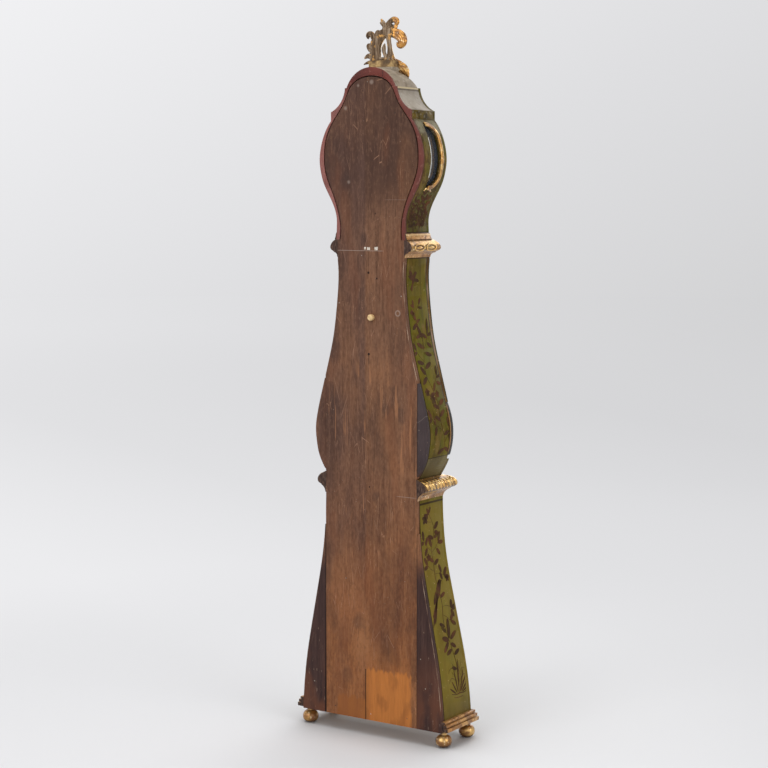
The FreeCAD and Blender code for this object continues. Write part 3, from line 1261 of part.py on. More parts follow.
def make_escapement():
    """The anchor clear of the escape wheel, with its arbor and the crutch behind the plate."""
    pivot_z = number("pivot_z")
    escape_z = number("escape_z")
    start = number("escape_wheel_depth")
    thick = number("wheel_thickness")
    reach = number("escape_tip_radius + pallet_gap")
    width = number("pallet_width")
    angle = math.radians(PALLET_ANGLE)
    spot_x = reach * math.sin(angle)
    spot_z = escape_z + reach * math.cos(angle)
    shaft = number("pivot_radius")
    points = [Vector(0, 0, pivot_z + width), Vector(spot_x + width, 0, spot_z),
              Vector(spot_x, 0, spot_z - width / 2), Vector(spot_x, 0, spot_z + width / 4),
              Vector(0, 0, pivot_z - width)]
    points += [Vector(-point.x, 0, point.z) for point in (points[3], points[2], points[1])]
    anchor = Part.Face(Part.makePolygon(points + points[:1])).extrude(Vector(0, -thick, 0))
    anchor.translate(Vector(0, number("rear_y") - start, 0))
    crutch_at = number("crutch_depth")
    plate = number("crutch_plate")
    foot_z = pivot_z - number("crutch_length")
    prong = number("prong_radius")
    aside = number("rod_radius + prong_gap") + prong
    bar_half = aside + prong
    parts = [arbor(0, pivot_z, shaft, crutch_at, number("plates_front")),
             arbor(0, pivot_z, shaft + prong, crutch_at, crutch_at + plate),
             slab(-prong, prong, crutch_at, crutch_at + plate, foot_z, pivot_z),
             slab(-bar_half, bar_half, crutch_at, crutch_at + plate, foot_z - prong, foot_z + prong)]
    parts += [arbor(side * aside, foot_z, prong, number("pendulum_depth") - number("rod_radius"), crutch_at)
              for side in (1, -1)]
    shaped("pallet_anchor", only_solid(anchor.fuse(parts)))


def make_suspension():
    """The cock on the back plate, with the pin that the pendulum hangs on."""
    z = number("cock_z")
    half = number("cock_width") / 2
    leg = number("cock_leg")
    rear = number("pendulum_depth - eye_thickness / 2") - leg - number("door_gap") * 2
    plate = number("back_plate_depth")
    pivot_z = number("pivot_z")
    pin = number("pivot_radius")
    parts = [slab(-half, half, rear, rear + leg, pivot_z - leg, z),
             arbor(0, pivot_z, pin, rear, number("pendulum_depth + eye_thickness"))]
    bridge = slab(-half, half, rear, plate, z, z + number("cock_height"))
    shaped("suspension_cock", only_solid(bridge.fuse(parts)))


def make_pendulum():
    depth = number("pendulum_depth")
    pivot_z = number("pivot_z")
    belly_z = number("belly_z")
    radius = number("rod_radius")
    low = belly_z - number("bob_radius + rod_end")
    thick = number("eye_thickness")
    eye = arbor(0, pivot_z, number("eye_radius"), depth - thick / 2, depth + thick / 2)
    rod = Part.makeCylinder(radius, pivot_z - low, place_at(0, depth, low))
    rod = rod.cut(slab(-radius, radius, 0, depth * 2, pivot_z, pivot_z + radius)).fuse(eye)
    flat = slab(-2 * radius, 2 * radius, depth - thick / 2, depth + thick / 2,
                pivot_z - 3 * number("eye_radius"), pivot_z + 2 * number("eye_radius"))
    head = rod.common(flat)
    shank = rod.common(slab(-2 * radius, 2 * radius, 0, depth * 2, low, pivot_z - 2 * number("eye_radius")))
    whole = head.fuse(shank).cut(arbor(0, pivot_z, number("pivot_radius + arbor_clearance"), 0, depth * 2))
    shaped("pendulum_rod", only_solid(whole.removeSplitter()))
    share_out, share_thick = BOB_SHOULDER_SHARES
    shoulder = f"bob_radius * {share_out}"
    swell = f"bob_thickness * {share_thick}"
    lens = turned("bob_lens", [("0", "-bob_thickness / 2"), (shoulder, f"-{swell}"),
                               ("bob_radius", "-bob_rim / 2"), ("bob_radius", "bob_rim / 2"),
                               (shoulder, swell), ("0", "bob_thickness / 2")],
                  depth="pendulum_depth", z="belly_z", forward=True)
    bore = bar("bob_bore", "rod_radius + pipe_clearance", "2 * bob_radius", "0", "pendulum_depth",
               "belly_z - bob_radius")
    nut = turned("rating_nut", tube("rod_radius + pipe_clearance", "nut_radius", "nut_height"),
                 depth="pendulum_depth", z="belly_z - bob_radius - nut_height")
    keep(group_of("pendulum_bob", [less("bored_bob", lens, bore), nut]))


def make_weights():
    """Two weights that hang on their lines from the drums, run down to their low stop."""
    for side, label in ((1, "going"), (-1, "strike")):
        x = f"{side} * line_side"
        neck = "hook_neck"
        body = turned(f"{label}_weight_body", [
            ("0", "0"), ("weight_radius - weight_cap / 2", "0"), ("weight_radius", "weight_cap"),
            ("weight_radius", "weight_length - weight_cap"), (neck, "weight_length"),
            (neck, "weight_length + weight_cap"), ("0", "weight_length + weight_cap")],
            x=x, depth="line_depth", z="rest_z")
        ring = doc.addObject("Part::Torus", f"{label}_weight_ring")
        bind(ring, Radius1="hook_height / 2 - hook_wire", Radius2="hook_wire")
        ring.Placement.Rotation = Rotation(Vector(1, 0, 0), 90)
        put(ring, x, "line_depth", "rest_z + weight_length + weight_cap + hook_height / 2 - hook_wire / 2")
        keep(joined(f"{label}_weight", [body, ring]))
        foot = "rest_z + weight_length + weight_cap + hook_height - hook_wire / 2"
        keep(bar(f"{label}_line", "line_radius", f"{drum_level()} - ({foot})", x, "line_depth", foot))


def drum_level():
    """The height of the drum arbors, written as a formula of sizes."""
    reach = f"(great_module * {GREAT_TEETH + PINION_LEAVES} / 2)"
    return f"(dial_z - sqrt({reach} * {reach} - drum_side * drum_side))"


def make_bell():
    """The bell over the movement on its bracket, and the hammer beside it."""
    depth = number("bell_depth")
    z = number("dial_z + bell_rise")
    radius = number("bell_radius")
    height = number("bell_height")
    wall = number("bell_wall")
    centre = place_at(0, depth, z)
    outside = Part.makeSphere(1, Vector(0, 0, 0), Vector(0, 0, 1), 0, 90, 360)
    matrix = FreeCAD.Matrix()
    matrix.scale(radius, radius, height)
    shell = outside.transformGeometry(matrix)
    matrix = FreeCAD.Matrix()
    matrix.scale(radius - wall, radius - wall, height - wall)
    shell = shell.cut(outside.transformGeometry(matrix))
    shell.translate(centre)
    stem_top = height + 2 * wall
    stem = Part.makeCylinder(wall, 2 * wall + wall / 2, centre + Vector(0, 0, height - wall / 2))
    bell = shell.fuse(stem)
    side = number("bell_stand_side")
    half = number("bell_stand_width") / 2
    plate = number("bell_stand_plate")
    back = number("back_plate_depth")
    foot_z = number("dial_z + plate_above / 2")
    stand = slab(side - half, side + half, back - plate, back, foot_z, z + stem_top)
    top = slab(-half, side + half, back - plate, depth + half, z + stem_top, z + stem_top + plate)
    stand = stand.fuse(top).removeSplitter()
    shaped("bell", Part.makeCompound([only_solid(bell), only_solid(stand)]))
    x = -number("hammer_side")
    axis_z = number("dial_z + hammer_rise")
    head = number("hammer_head")
    head_x = -(radius + number("hammer_gap") + head)
    head_at = place_at(head_x, depth, z + head)
    foot_at = place_at(x, depth, axis_z)
    wire = Part.makeCylinder(number("hammer_wire"), (head_at - foot_at).Length, foot_at, head_at - foot_at)
    spindle = arbor(x, axis_z, number("pivot_radius"), number("back_plate_depth"), number("plates_front"))
    hub = arbor(x, axis_z, number("pivot_radius") * 2, depth - head, depth + head)
    hammer = Part.makeSphere(head, head_at).fuse([wire, spindle, hub])
    shaped("strike_hammer", only_solid(hammer))


make_feet()
make_base()
make_trunk()
make_trunk_front()
make_trunk_door()
make_trunk_hinges()
make_back()
make_mouldings()
make_hood_shell()
make_crest()
make_hood_door()
make_seat()
make_plates()
make_dial()
make_going_train()
make_motion_work()
make_drums()
make_escapement()
make_suspension()
make_pendulum()
make_weights()
make_bell()

doc.recompute()
for obj in doc.Objects:
    if "Invalid" in obj.State or "Error" in obj.State:
        raise RuntimeError(f"{obj.Label} failed: {obj.State}")
os.makedirs("parts", exist_ok=True)
for piece in pieces:
    if piece.Shape.isNull() or not piece.Shape.isValid():
        raise RuntimeError(f"{piece.Label} has no valid shape")
for piece in pieces:
    piece.Shape.exportStep(f"parts/{piece.Label}.step")
    box = piece.Shape.BoundBox
    print(f"{piece.Label:24s} solids {len(piece.Shape.Solids)}  x {box.XMin:8.1f} {box.XMax:8.1f}  "
          f"y {box.YMin:8.1f} {box.YMax:8.1f}  z {box.ZMin:8.1f} {box.ZMax:8.1f}")
print(len(pieces), "pieces")
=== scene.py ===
import bpy
import json
import math
import random
from mathutils import Matrix, Vector
from mathutils.bvhtree import BVHTree


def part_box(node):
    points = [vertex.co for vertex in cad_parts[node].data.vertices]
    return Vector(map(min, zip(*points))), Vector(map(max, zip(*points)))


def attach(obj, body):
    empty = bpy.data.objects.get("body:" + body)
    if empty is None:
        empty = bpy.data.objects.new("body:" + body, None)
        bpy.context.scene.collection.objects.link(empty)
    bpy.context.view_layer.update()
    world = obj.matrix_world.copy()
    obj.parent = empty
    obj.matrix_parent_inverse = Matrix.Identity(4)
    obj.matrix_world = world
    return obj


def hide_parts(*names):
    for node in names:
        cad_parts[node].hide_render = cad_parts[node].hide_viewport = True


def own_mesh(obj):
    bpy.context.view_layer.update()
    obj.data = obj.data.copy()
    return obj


bl_info = {
    "name": "Waisted Tall Case Clock",
    "version": (1, 0, 0),
    "blender": (4, 5, 0),
    "location": "View3D > Sidebar > Clock",
    "description": "Finishes a lacquered and gilded tall case clock piece by piece",
    "category": "Add Mesh",
}

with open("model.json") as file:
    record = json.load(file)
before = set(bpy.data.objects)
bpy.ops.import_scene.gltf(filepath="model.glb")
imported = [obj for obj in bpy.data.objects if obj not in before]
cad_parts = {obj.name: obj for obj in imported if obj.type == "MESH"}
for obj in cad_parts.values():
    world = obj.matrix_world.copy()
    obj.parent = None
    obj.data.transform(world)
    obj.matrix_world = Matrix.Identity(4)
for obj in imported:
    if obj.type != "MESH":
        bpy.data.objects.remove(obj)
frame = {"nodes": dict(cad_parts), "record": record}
NODES = frame["nodes"]
BODY_OF = {node: body for body, nodes in frame["record"]["behaviour"]["bodies"].items() for node in nodes}
SLOT_OF = {part["node"]: part["material_slot"] for part in frame["record"]["subparts"]}
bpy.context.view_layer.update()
# The back of the case: a place at a depth in front of it has a smaller y.
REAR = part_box("backboard")[1].y
DIAL_Z = (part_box("dial_plate")[0].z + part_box("dial_plate")[1].z) / 2


def spot(x, depth, z):
    """A point from millimetres: across, forward from the back of the case, and up."""
    return Vector((x / 1000, REAR - depth / 1000, z / 1000))


def colour(red, green, blue):
    """A colour from display values of 0 to 255, as the renderer counts light."""
    values = []
    for value in (red, green, blue):
        share = value / 255
        values.append(share / 12.92 if share < 0.04045 else ((share + 0.055) / 1.055) ** 2.4)
    return (*values, 1.0)


# Materials
def shade(tint):
    """A colour as a socket takes it: display values are counted over, links and ready colours stay."""
    return tint if isinstance(tint, Wire) or len(tint) == 4 else colour(*tint)


class Wire:
    """A socket of a material, so that sums on masks read as sums."""

    def __init__(self, paint, socket):
        self.paint = paint
        self.socket = socket

    def __add__(self, other):
        return self.paint.count("ADD", self, other)

    __radd__ = __add__

    def __sub__(self, other):
        return self.paint.count("SUBTRACT", self, other)

    def __rsub__(self, other):
        return self.paint.count("SUBTRACT", other, self)

    def __mul__(self, other):
        return self.paint.count("MULTIPLY", self, other)

    __rmul__ = __mul__

    def __truediv__(self, other):
        return self.paint.count("DIVIDE", self, other)

    def __abs__(self):
        return self.paint.count("ABSOLUTE", self)

    def most(self, other):
        return self.paint.count("MAXIMUM", self, other)

    def ramp(self, low, high):
        """Goes smoothly from 0 at the low value to 1 at the high one."""
        ends = {0: self, 1: low, 2: high}
        return self.paint.add("ShaderNodeMapRange", {"interpolation_type": "SMOOTHSTEP"}, ends)

    def within(self, low, high, soft):
        """1 between two values, with soft edges."""
        return self.ramp(low - soft, low + soft) * (1 - self.ramp(high - soft, high + soft))


class Paint:
    """One material, built round its Principled shader on the object's own coordinates."""

    def __init__(self, name, tree=None, coordinates="Object", **constants):
        if tree is None:
            self.material = bpy.data.materials.new(name)
            self.material.use_nodes = True
            tree = self.material.node_tree
            self.shader = tree.nodes["Principled BSDF"]
        self.tree = tree
        self.tone = None
        self.place = self.add("ShaderNodeTexCoord", output=coordinates)
        for socket, value in constants.items():
            self.set(**{socket: value})

    def add(self, kind, settings=None, sockets=None, output=0):
        """Adds a node: its settings first, then the values or links of its sockets."""
        node = self.tree.nodes.new(kind)
        for name, value in (settings or {}).items():
            if name == "stops":
                ramp = node.color_ramp
                while len(ramp.elements) < len(value):
                    ramp.elements.new(1)
                for element, (position, tint) in zip(ramp.elements, value):
                    element.position = position
                    element.color = tint
            else:
                setattr(node, name, value)
        for name, value in (sockets or {}).items():
            self.feed(node.inputs[name], value)
        return Wire(self, node.outputs[output])

    def feed(self, socket, value):
        if isinstance(value, Wire):
            self.tree.links.new(value.socket, socket)
        else:
            socket.default_value = value

    def count(self, operation, *items):
        return self.add("ShaderNodeMath", {"operation": operation}, dict(enumerate(items)))

    def set(self, **sockets):
        for name, value in sockets.items():
            self.feed(self.shader.inputs[name.replace("_", " ")], value)

    def axes(self):
        """The place's x, y and z."""
        split = self.add("ShaderNodeSeparateXYZ", {}, {0: self.place})
        return [Wire(self, output) for output in split.socket.node.outputs]

    def noise(self, scale, detail=4.0, stretch=(1, 1, 1), shift=0.0, warp=0.0):
        moved = self.add("ShaderNodeMapping", {}, {"Vector": self.place, "Scale": stretch,
                                                  "Location": (shift, shift / 2, shift / 3)})
        return self.add("ShaderNodeTexNoise", {}, {"Vector": moved, "Scale": scale, "Detail": detail,
                                                  "Distortion": warp})

    def cells(self, scale, stretch=(1, 1, 1), kind="DISTANCE_TO_EDGE"):
        moved = self.add("ShaderNodeMapping", {}, {"Vector": self.place, "Scale": stretch})
        return self.add("ShaderNodeTexVoronoi", {"feature": kind}, {"Vector": moved, "Scale": scale},
                        "Distance")

    def over(self, mask, below, above):
        """One colour over another, as far as the mask goes."""
        sockets = {0: mask, 6: shade(below), 7: shade(above)}
        return self.add("ShaderNodeMix", {"data_type": "RGBA", "clamp_factor": True}, sockets, 2)

    def lay(self, mask, above):
        """Lays a colour over the tone so far, as far as the mask goes."""
        self.tone = self.over(mask, self.tone, above)

    def tints(self, value, *stops):
        """Colours along a value; a stop is its position and its colour."""
        return self.add("ShaderNodeValToRGB", {"stops": [(place, shade(tint)) for place, *tint in stops]},
                        {0: value})

    def bump(self, height, distance, strength=1.0):
        self.set(Normal=self.add("ShaderNodeBump", {}, {"Height": height, "Distance": distance,
                                                       "Strength": strength}))

    def near(self, x_at, z_at, reach, soft):
        """A round mark on the back, about a place given in metres."""
        x, _, z = self.axes()
        away = self.count("SQRT", (x - x_at) * (x - x_at) + (z - z_at) * (z - z_at))
        return 1 - away.ramp(reach - soft, reach + soft)


def grain_of(paint):
    """Upright pine grain: long streaks, fine lines in them, and slow clouds across."""
    coarse = paint.noise(60, 7, (1, 1, 0.06), warp=0.5)
    streaks = coarse * 0.6 + paint.noise(210, 4, (1, 1, 0.12), shift=2) * 0.4
    lines = paint.noise(420, 3, (1, 1, 0.03), shift=3)
    clouds = paint.noise(9, 6, (1, 1, 0.4), shift=7)
    return streaks, lines, clouds


def scratched(paint, tint, share, scale=34.0):
    """Lays fine pale scratches, mostly upright, that come and go, and returns them."""
    web = 1 - paint.cells(scale, (1, 1, 0.16)).ramp(0.002, 0.012)
    web = web * paint.noise(13, 3, shift=41).ramp(0.52, 0.62)
    paint.lay(web * share, tint)
    return web


def stains_on(paint, places):
    """Soft dark clouds at the given places; each is x, z and reach."""
    x, _, z = paint.axes()
    cloud = paint.noise(30, 4, shift=17)
    stain = None
    for x_at, z_at, reach in places:
        away = paint.count("SQRT", (x - x_at) * (x - x_at) + (z - z_at) * (z - z_at) * 0.45)
        spot_here = 1 - (away + (cloud - 0.5) * reach * 1.6).ramp(reach * 0.35, reach)
        stain = spot_here if stain is None else stain.most(spot_here)
    return stain


def plank_colour(paint):
    """The browned pine of the back: fine grain, slow clouds, redder and paler toward the floor."""
    x, _, z = paint.axes()
    streaks, lines, clouds = grain_of(paint)
    pine = settings().pine[:] + (1,)
    paint.tone = paint.tints(streaks, (0.36, 94, 64, 47), (0.5, *pine), (0.64, 128, 90, 66))
    low = 1 - z.ramp(0.3, 1.1)
    paint.lay(low * 0.9, paint.tints(streaks, (0.36, 128, 76, 44), (0.64, 164, 108, 66)))
    head = z.ramp(1.75, 1.95)
    paint.lay(head * 0.9, paint.tints(streaks, (0.36, 62, 41, 34), (0.64, 82, 58, 47)))
    board = (x + (streaks - 0.5) * 0.02).ramp(0.012, 0.028)
    cool = board * (0.55 + clouds.ramp(0.4, 0.6) * 0.45) * z.ramp(0.3, 0.75)
    paint.lay(cool * 0.7, paint.tints(streaks, (0.36, 74, 52, 45), (0.64, 96, 71, 63)))
    paint.lay(clouds.ramp(0.46, 0.7) * 0.46, (76, 53, 43))
    glow = paint.noise(5, 3, (1, 1, 0.4), shift=63).ramp(0.48, 0.66) * (1 - cool) * (1 - head * 0.6)
    paint.lay(glow * 0.55, (160, 110, 74))
    broad = paint.noise(3.2, 4, (1, 1, 0.5), shift=83).ramp(0.5, 0.66) * (1 - head)
    paint.lay(broad * 0.34, (72, 49, 42))
    mottle = paint.noise(130, 5, (1, 1, 0.5), shift=47)
    paint.lay(mottle.ramp(0.5, 0.64) * 0.25, (66, 44, 35))
    paint.lay((1 - mottle.ramp(0.36, 0.46)) * 0.1, (164, 124, 98))
    red = paint.noise(14, 4, (1, 1, 0.2), shift=27).ramp(0.52, 0.7)
    paint.lay(red * 0.22, (134, 80, 52))
    paint.lay(lines.ramp(0.5, 0.8) * 0.3, (64, 42, 32))
    pores = paint.noise(800, 2, (1, 1, 0.06), shift=51).ramp(0.6, 0.75)
    paint.lay(pores * 0.25, (52, 34, 27))
    return streaks, lines


def bare_patch(paint, streaks, lines):
    """Lays the bare sawn wood at the plank's foot, and returns how far it goes and its saw marks."""
    x, _, z = paint.axes()
    ragged = paint.noise(90, 5, (1, 1, 0.2), shift=23)
    step = 0.127 + (1 - x.ramp(0.018, 0.022)) * 0.108
    height = z - step - (ragged - 0.5) * 0.06
    patch = (1 - height.ramp(-0.006, 0.008)) * 0.75 + (1 - height.ramp(-0.02, 0.12)) * 0.25
    patch = patch * (x + (ragged - 0.5) * 0.03).within(-0.166, 0.14, 0.006)
    blots = paint.noise(20, 5, (1, 1, 0.6), shift=33).ramp(0.52, 0.66)
    sawn = paint.count("SINE", z * 1500 + x * 90 + streaks * 6) * 0.5 + 0.5
    warm = 1 - x.ramp(-0.02, 0.06)
    bare = paint.over(warm, (146, 90, 52), (198, 124, 62))
    for mask, tint in ((streaks.ramp(0.4, 0.6) * 0.4, (162, 100, 50)), (sawn * 0.14, (130, 78, 38)),
                       (lines.ramp(0.5, 0.7) * 0.35, (140, 84, 42)), (blots * 0.35, (122, 76, 42))):
        bare = paint.over(mask, bare, tint)
    paint.lay(patch * 0.92, bare)
    return patch, sawn


def holes_and_cracks(paint):
    """Lays the dark holes, the cracks and the joint at the foot, and returns them."""
    x, _, z = paint.axes()
    marks = (1 - z.ramp(0.233, 0.235)) * x.within(0.0195, 0.0225, 0.0008)
    for x_at, z_at, reach in ((0.008, 1.606, 0.004), (-0.026, 1.587, 0.003), (0.007, 1.329, 0.0045),
                              (0.004, 0.873, 0.0025), (-0.02, 1.806, 0.002), (0.102, 0.545, 0.002)):
        marks = marks.most(paint.near(x_at, z_at, reach, 0.0009))
    crack = x.within(0.0055, 0.0075, 0.0005) * z.within(1.295, 1.325, 0.004)
    side_crack = x.within(-0.1785, -0.1775, 0.0004) * z.within(0.62, 0.99, 0.02)
    marks = marks.most(crack).most(side_crack)
    paint.lay(marks * 0.92, (24, 16, 13))
    return marks


def scribed_lines(paint):
    """Lays the pale scribed lines, the ring beside the peg and the faded spots."""
    x, _, z = paint.axes()
    scribed = z.within(1.6795, 1.6812, 0.0006) * x.within(-0.05, 0.137, 0.01)
    level = z.within(1.8515, 1.8523, 0.0004) * x.within(-0.17, -0.06, 0.008)
    lower_line = z.within(0.8495, 0.8508, 0.0006) * x.within(-0.185, -0.11, 0.01)
    ring = paint.near(-0.111, 1.472, 0.0105, 0.002) - paint.near(-0.111, 1.472, 0.0068, 0.002)
    faded = scribed.most(ring * 0.8).most(level * 0.7).most(lower_line)
    for x_at, z_at, reach in ((-0.005, 2.245, 0.007), (0.102, 2.161, 0.006), (0.089, 1.912, 0.005),
                              (0.05, 2.235, 0.004)):
        faded = faded.most(paint.near(x_at, z_at, reach, 0.004) * 0.62)
    paint.lay(faded * 0.75, (164, 146, 134))


def old_pine():
    """The plank at the back: browned pine with stains, scratches, holes and a bare patch."""
    paint = Paint("aged_pine_plank", Specular_IOR_Level=0.14)
    x, _, z = paint.axes()
    streaks, lines = plank_colour(paint)
    dark = stains_on(paint, (
        (0.144, 1.337, 0.035), (-0.1, 1.19, 0.03), (-0.06, 1.14, 0.022), (-0.13, 1.13, 0.03),
        (0.1, 1.92, 0.03), (0.03, 1.72, 0.02), (-0.09, 0.29, 0.04), (0.1, 0.2, 0.03), (-0.02, 0.84, 0.02),
        (0.15, 1.15, 0.03), (0.05, 0.4, 0.03)))
    paint.lay(dark * 0.3, (52, 42, 42))
    web = scratched(paint, (172, 130, 104), 0.6)
    fine = paint.noise(46, 4, (1, 1, 0.05), shift=19, warp=0.8)
    hairs = fine.within(0.497, 0.503, 0.004) * paint.noise(6, 2, shift=5).ramp(0.5, 0.6)
    paint.lay(hairs * (0.5 + z.within(0.3, 0.85, 0.1) * 0.5), (184, 138, 106))
    rubs = paint.noise(70, 4, (1, 1, 0.05), shift=91).ramp(0.6, 0.68) * z.within(0.45, 1.3, 0.1)
    paint.lay(rubs * paint.noise(7, 2, shift=95).ramp(0.48, 0.6) * 0.5, (176, 122, 84))
    patch, sawn = bare_patch(paint, streaks, lines)
    marks = holes_and_cracks(paint)
    scribed_lines(paint)
    dust = paint.noise(210, 2, shift=31).ramp(0.7, 0.74) * paint.noise(6, 2, shift=37).ramp(0.46, 0.58)
    paint.lay(dust * 0.5, (186, 170, 156))
    edge = paint.noise(34, 4, (1, 1, 0.3), shift=43).ramp(0.42, 0.6) * (abs(x) - 0.125).ramp(0, 0.06)
    paint.lay(edge * 0.25, (66, 46, 38))
    paint.set(Base_Color=paint.tone, Roughness=0.7 - lines * 0.14 + patch * 0.1)
    paint.bump(streaks * 0.45 + lines * 0.4 - marks * 3 - web * 0.7 - hairs * 0.5 + sawn * patch * 0.3,
               0.0009, 0.7)
    return paint.material


def wing_wood():
    """The wings: brown as the plank on one side of the belly, stained nearly black elsewhere."""
    paint = Paint("stained_pine_wings", Specular_IOR_Level=0.14)
    x, _, z = paint.axes()
    streaks, lines = plank_colour(paint)
    brown = paint.tone
    clouds = paint.noise(12, 4, (1, 1, 0.5), shift=14)
    paint.tone = paint.tints(streaks, (0.32, 50, 34, 32), (0.55, 67, 47, 43), (0.75, 88, 65, 57))
    blue = z.ramp(0.9, 0.95)
    paint.lay(blue * 0.8, paint.tints(clouds, (0.35, 50, 43, 45), (0.65, 75, 65, 66)))
    low = 1 - z.ramp(0.06, 0.42)
    paint.lay(low * clouds.ramp(0.36, 0.58) * 0.8, (104, 64, 46))
    high = (z + (clouds - 0.5) * 0.16).within(0.62, 0.9, 0.05)
    paint.lay(high * 0.85, brown)
    paint.lay(z.ramp(0.83, 0.84) * x.ramp(-0.01, 0.01), brown)
    arc = paint.count("SQRT", (x + 0.12) * (x + 0.12) + (z - 1.235) * (z - 1.235))
    seam = arc.within(0.1455, 0.147, 0.0006) * (1 - x.ramp(-0.19, -0.185))
    paint.lay(seam * 0.4, (140, 126, 118))
    pale = paint.count("SQRT", (x - 0.276) * (x - 0.276) * 0.12 + (z - 0.877) * (z - 0.877))
    paint.lay((1 - pale.ramp(0.004, 0.008)) * 0.7, (176, 150, 128))
    web = scratched(paint, (128, 100, 86), 0.45, 50.0)
    spots = paint.noise(150, 3, (1, 1, 0.4), shift=4).ramp(0.68, 0.72)
    paint.lay(spots * 0.4, (160, 132, 112))
    left = x.ramp(-0.01, 0.01)
    gap = 0.0008 + (1 - z.ramp(0.05, 0.45)) * left * 0.0035
    joint = (1 - (abs(abs(x) - 0.19) - gap).ramp(0.0, 0.0015)) * (1 - left * z.ramp(0.84, 0.86))
    paint.lay(joint * (0.6 + left * 0.35), (22, 15, 13))
    paint.set(Base_Color=paint.tone, Roughness=0.66 - lines * 0.15)
    paint.bump(streaks + lines * 0.5 - web * 0.5 - joint * 2, 0.0006, 0.6)
    return paint.material


def red_paint():
    """The dark red of the hood's back rim, thin enough to show the grain."""
    paint = Paint("dark_red_paint", Specular_IOR_Level=0.25)
    x, _, z = paint.axes()
    streaks, _, clouds = grain_of(paint)
    paint.tone = paint.tints(clouds, (0.3, 94, 44, 36), (0.55, 112, 58, 48), (0.75, 124, 74, 64))
    rosy = x.ramp(0.05, 0.1) * (1 - z.ramp(2.16, 2.24))
    paint.lay(rosy * 0.8, paint.tints(streaks, (0.36, 136, 84, 77), (0.64, 164, 113, 106)))
    paint.lay(streaks.ramp(0.45, 0.7) * 0.35, (78, 36, 30))
    crown = z.ramp(2.2, 2.26)
    paint.lay(crown * 0.7, paint.tints(clouds, (0.35, 82, 26, 20), (0.65, 106, 42, 32)))
    worn = paint.noise(60, 5, shift=9).ramp(0.6, 0.68)
    paint.lay(worn * 0.4, (144, 104, 92))
    soot = paint.noise(11, 4, shift=2).ramp(0.52, 0.7)
    paint.lay(soot * 0.4, (62, 32, 26))
    joint = x.within(-0.0498, -0.0482, 0.0004) * z.ramp(2.2, 2.21)
    left_joint = (z - x * 0.55).within(2.181, 2.1828, 0.0005) * x.ramp(0.05, 0.06)
    cuts = joint.most(left_joint)
    paint.lay(cuts * 0.85, (28, 13, 11))
    paint.set(Base_Color=paint.tone, Roughness=0.54 + worn * 0.2)
    paint.bump(streaks + worn * 0.4 - cuts * 3, 0.0005, 0.6)
    return paint.material


def case_borders(paint, cloud):
    """Lays what only the case's lacquer has, from the foot up, and returns its dark borders."""
    x, y, z = paint.axes()
    depth = REAR - y
    side = abs(x).ramp(0.12, 0.125)
    paint.lay((1 - z.ramp(0.8, 0.86)) * 0.5, (134, 114, 46))
    foot = 1 - z.ramp(0.1, 0.2)
    paint.lay(foot * 0.5, paint.tints(cloud, (0.3, 70, 60, 30), (0.7, 94, 76, 44)))
    block = z.within(0.9, 0.985, 0.0008)
    paint.lay(block * 0.75, paint.tints(cloud, (0.35, 84, 73, 48), (0.65, 118, 106, 78)))
    seam = z.within(0.984, 0.986, 0.0005)
    trunk = z.ramp(0.985, 0.987)
    line = depth.within(0.138, 0.1425, 0.0007) * trunk
    strip = depth.within(0.1425, 0.153, 0.0006) * trunk
    rub = paint.noise(30, 5, (1, 1, 0.25), shift=61)
    worn = paint.tints(rub, (0.4, 84, 58, 28), (0.52, 112, 82, 42), (0.64, 148, 124, 102))
    paint.lay(strip * side, worn)
    border = ((1 - depth.ramp(0.0195, 0.0215)).most(line) * side).most(seam)
    border = border.most(z.within(0.822, 0.829, 0.0008)).most(z.ramp(1.652, 1.656))
    paint.lay(border * 0.85, (40, 23, 12))
    paint.lay(depth.within(0.154, 0.1594, 0.0003) * trunk * side * 0.9, (28, 20, 14))
    return border


def hood_borders(paint, cloud):
    """Lays what only the hood's lacquer has, with a painted sheen near the top of its sides, and returns its
    dark border.
    """
    _, y, z = paint.axes()
    depth = REAR - y
    border = z.within(1.7405, 1.7445, 0.0006)
    paint.lay(border * 0.8, (36, 24, 12))
    # A paler band near the top of the hood's sides, painted as a sheen of light.
    painted_sheen = z.within(2.07, 2.118, 0.012) * cloud.ramp(0.3, 0.5)
    paint.lay(painted_sheen * 0.7, (138, 132, 112))
    freckles = paint.noise(70, 5, (1, 1, 0.7), shift=71).ramp(0.48, 0.6)
    paint.lay(freckles * 0.6, (66, 44, 24))
    rear = 1 - depth.ramp(0.012, 0.016)
    paint.lay(rear * 0.6, (64, 38, 28))
    return border


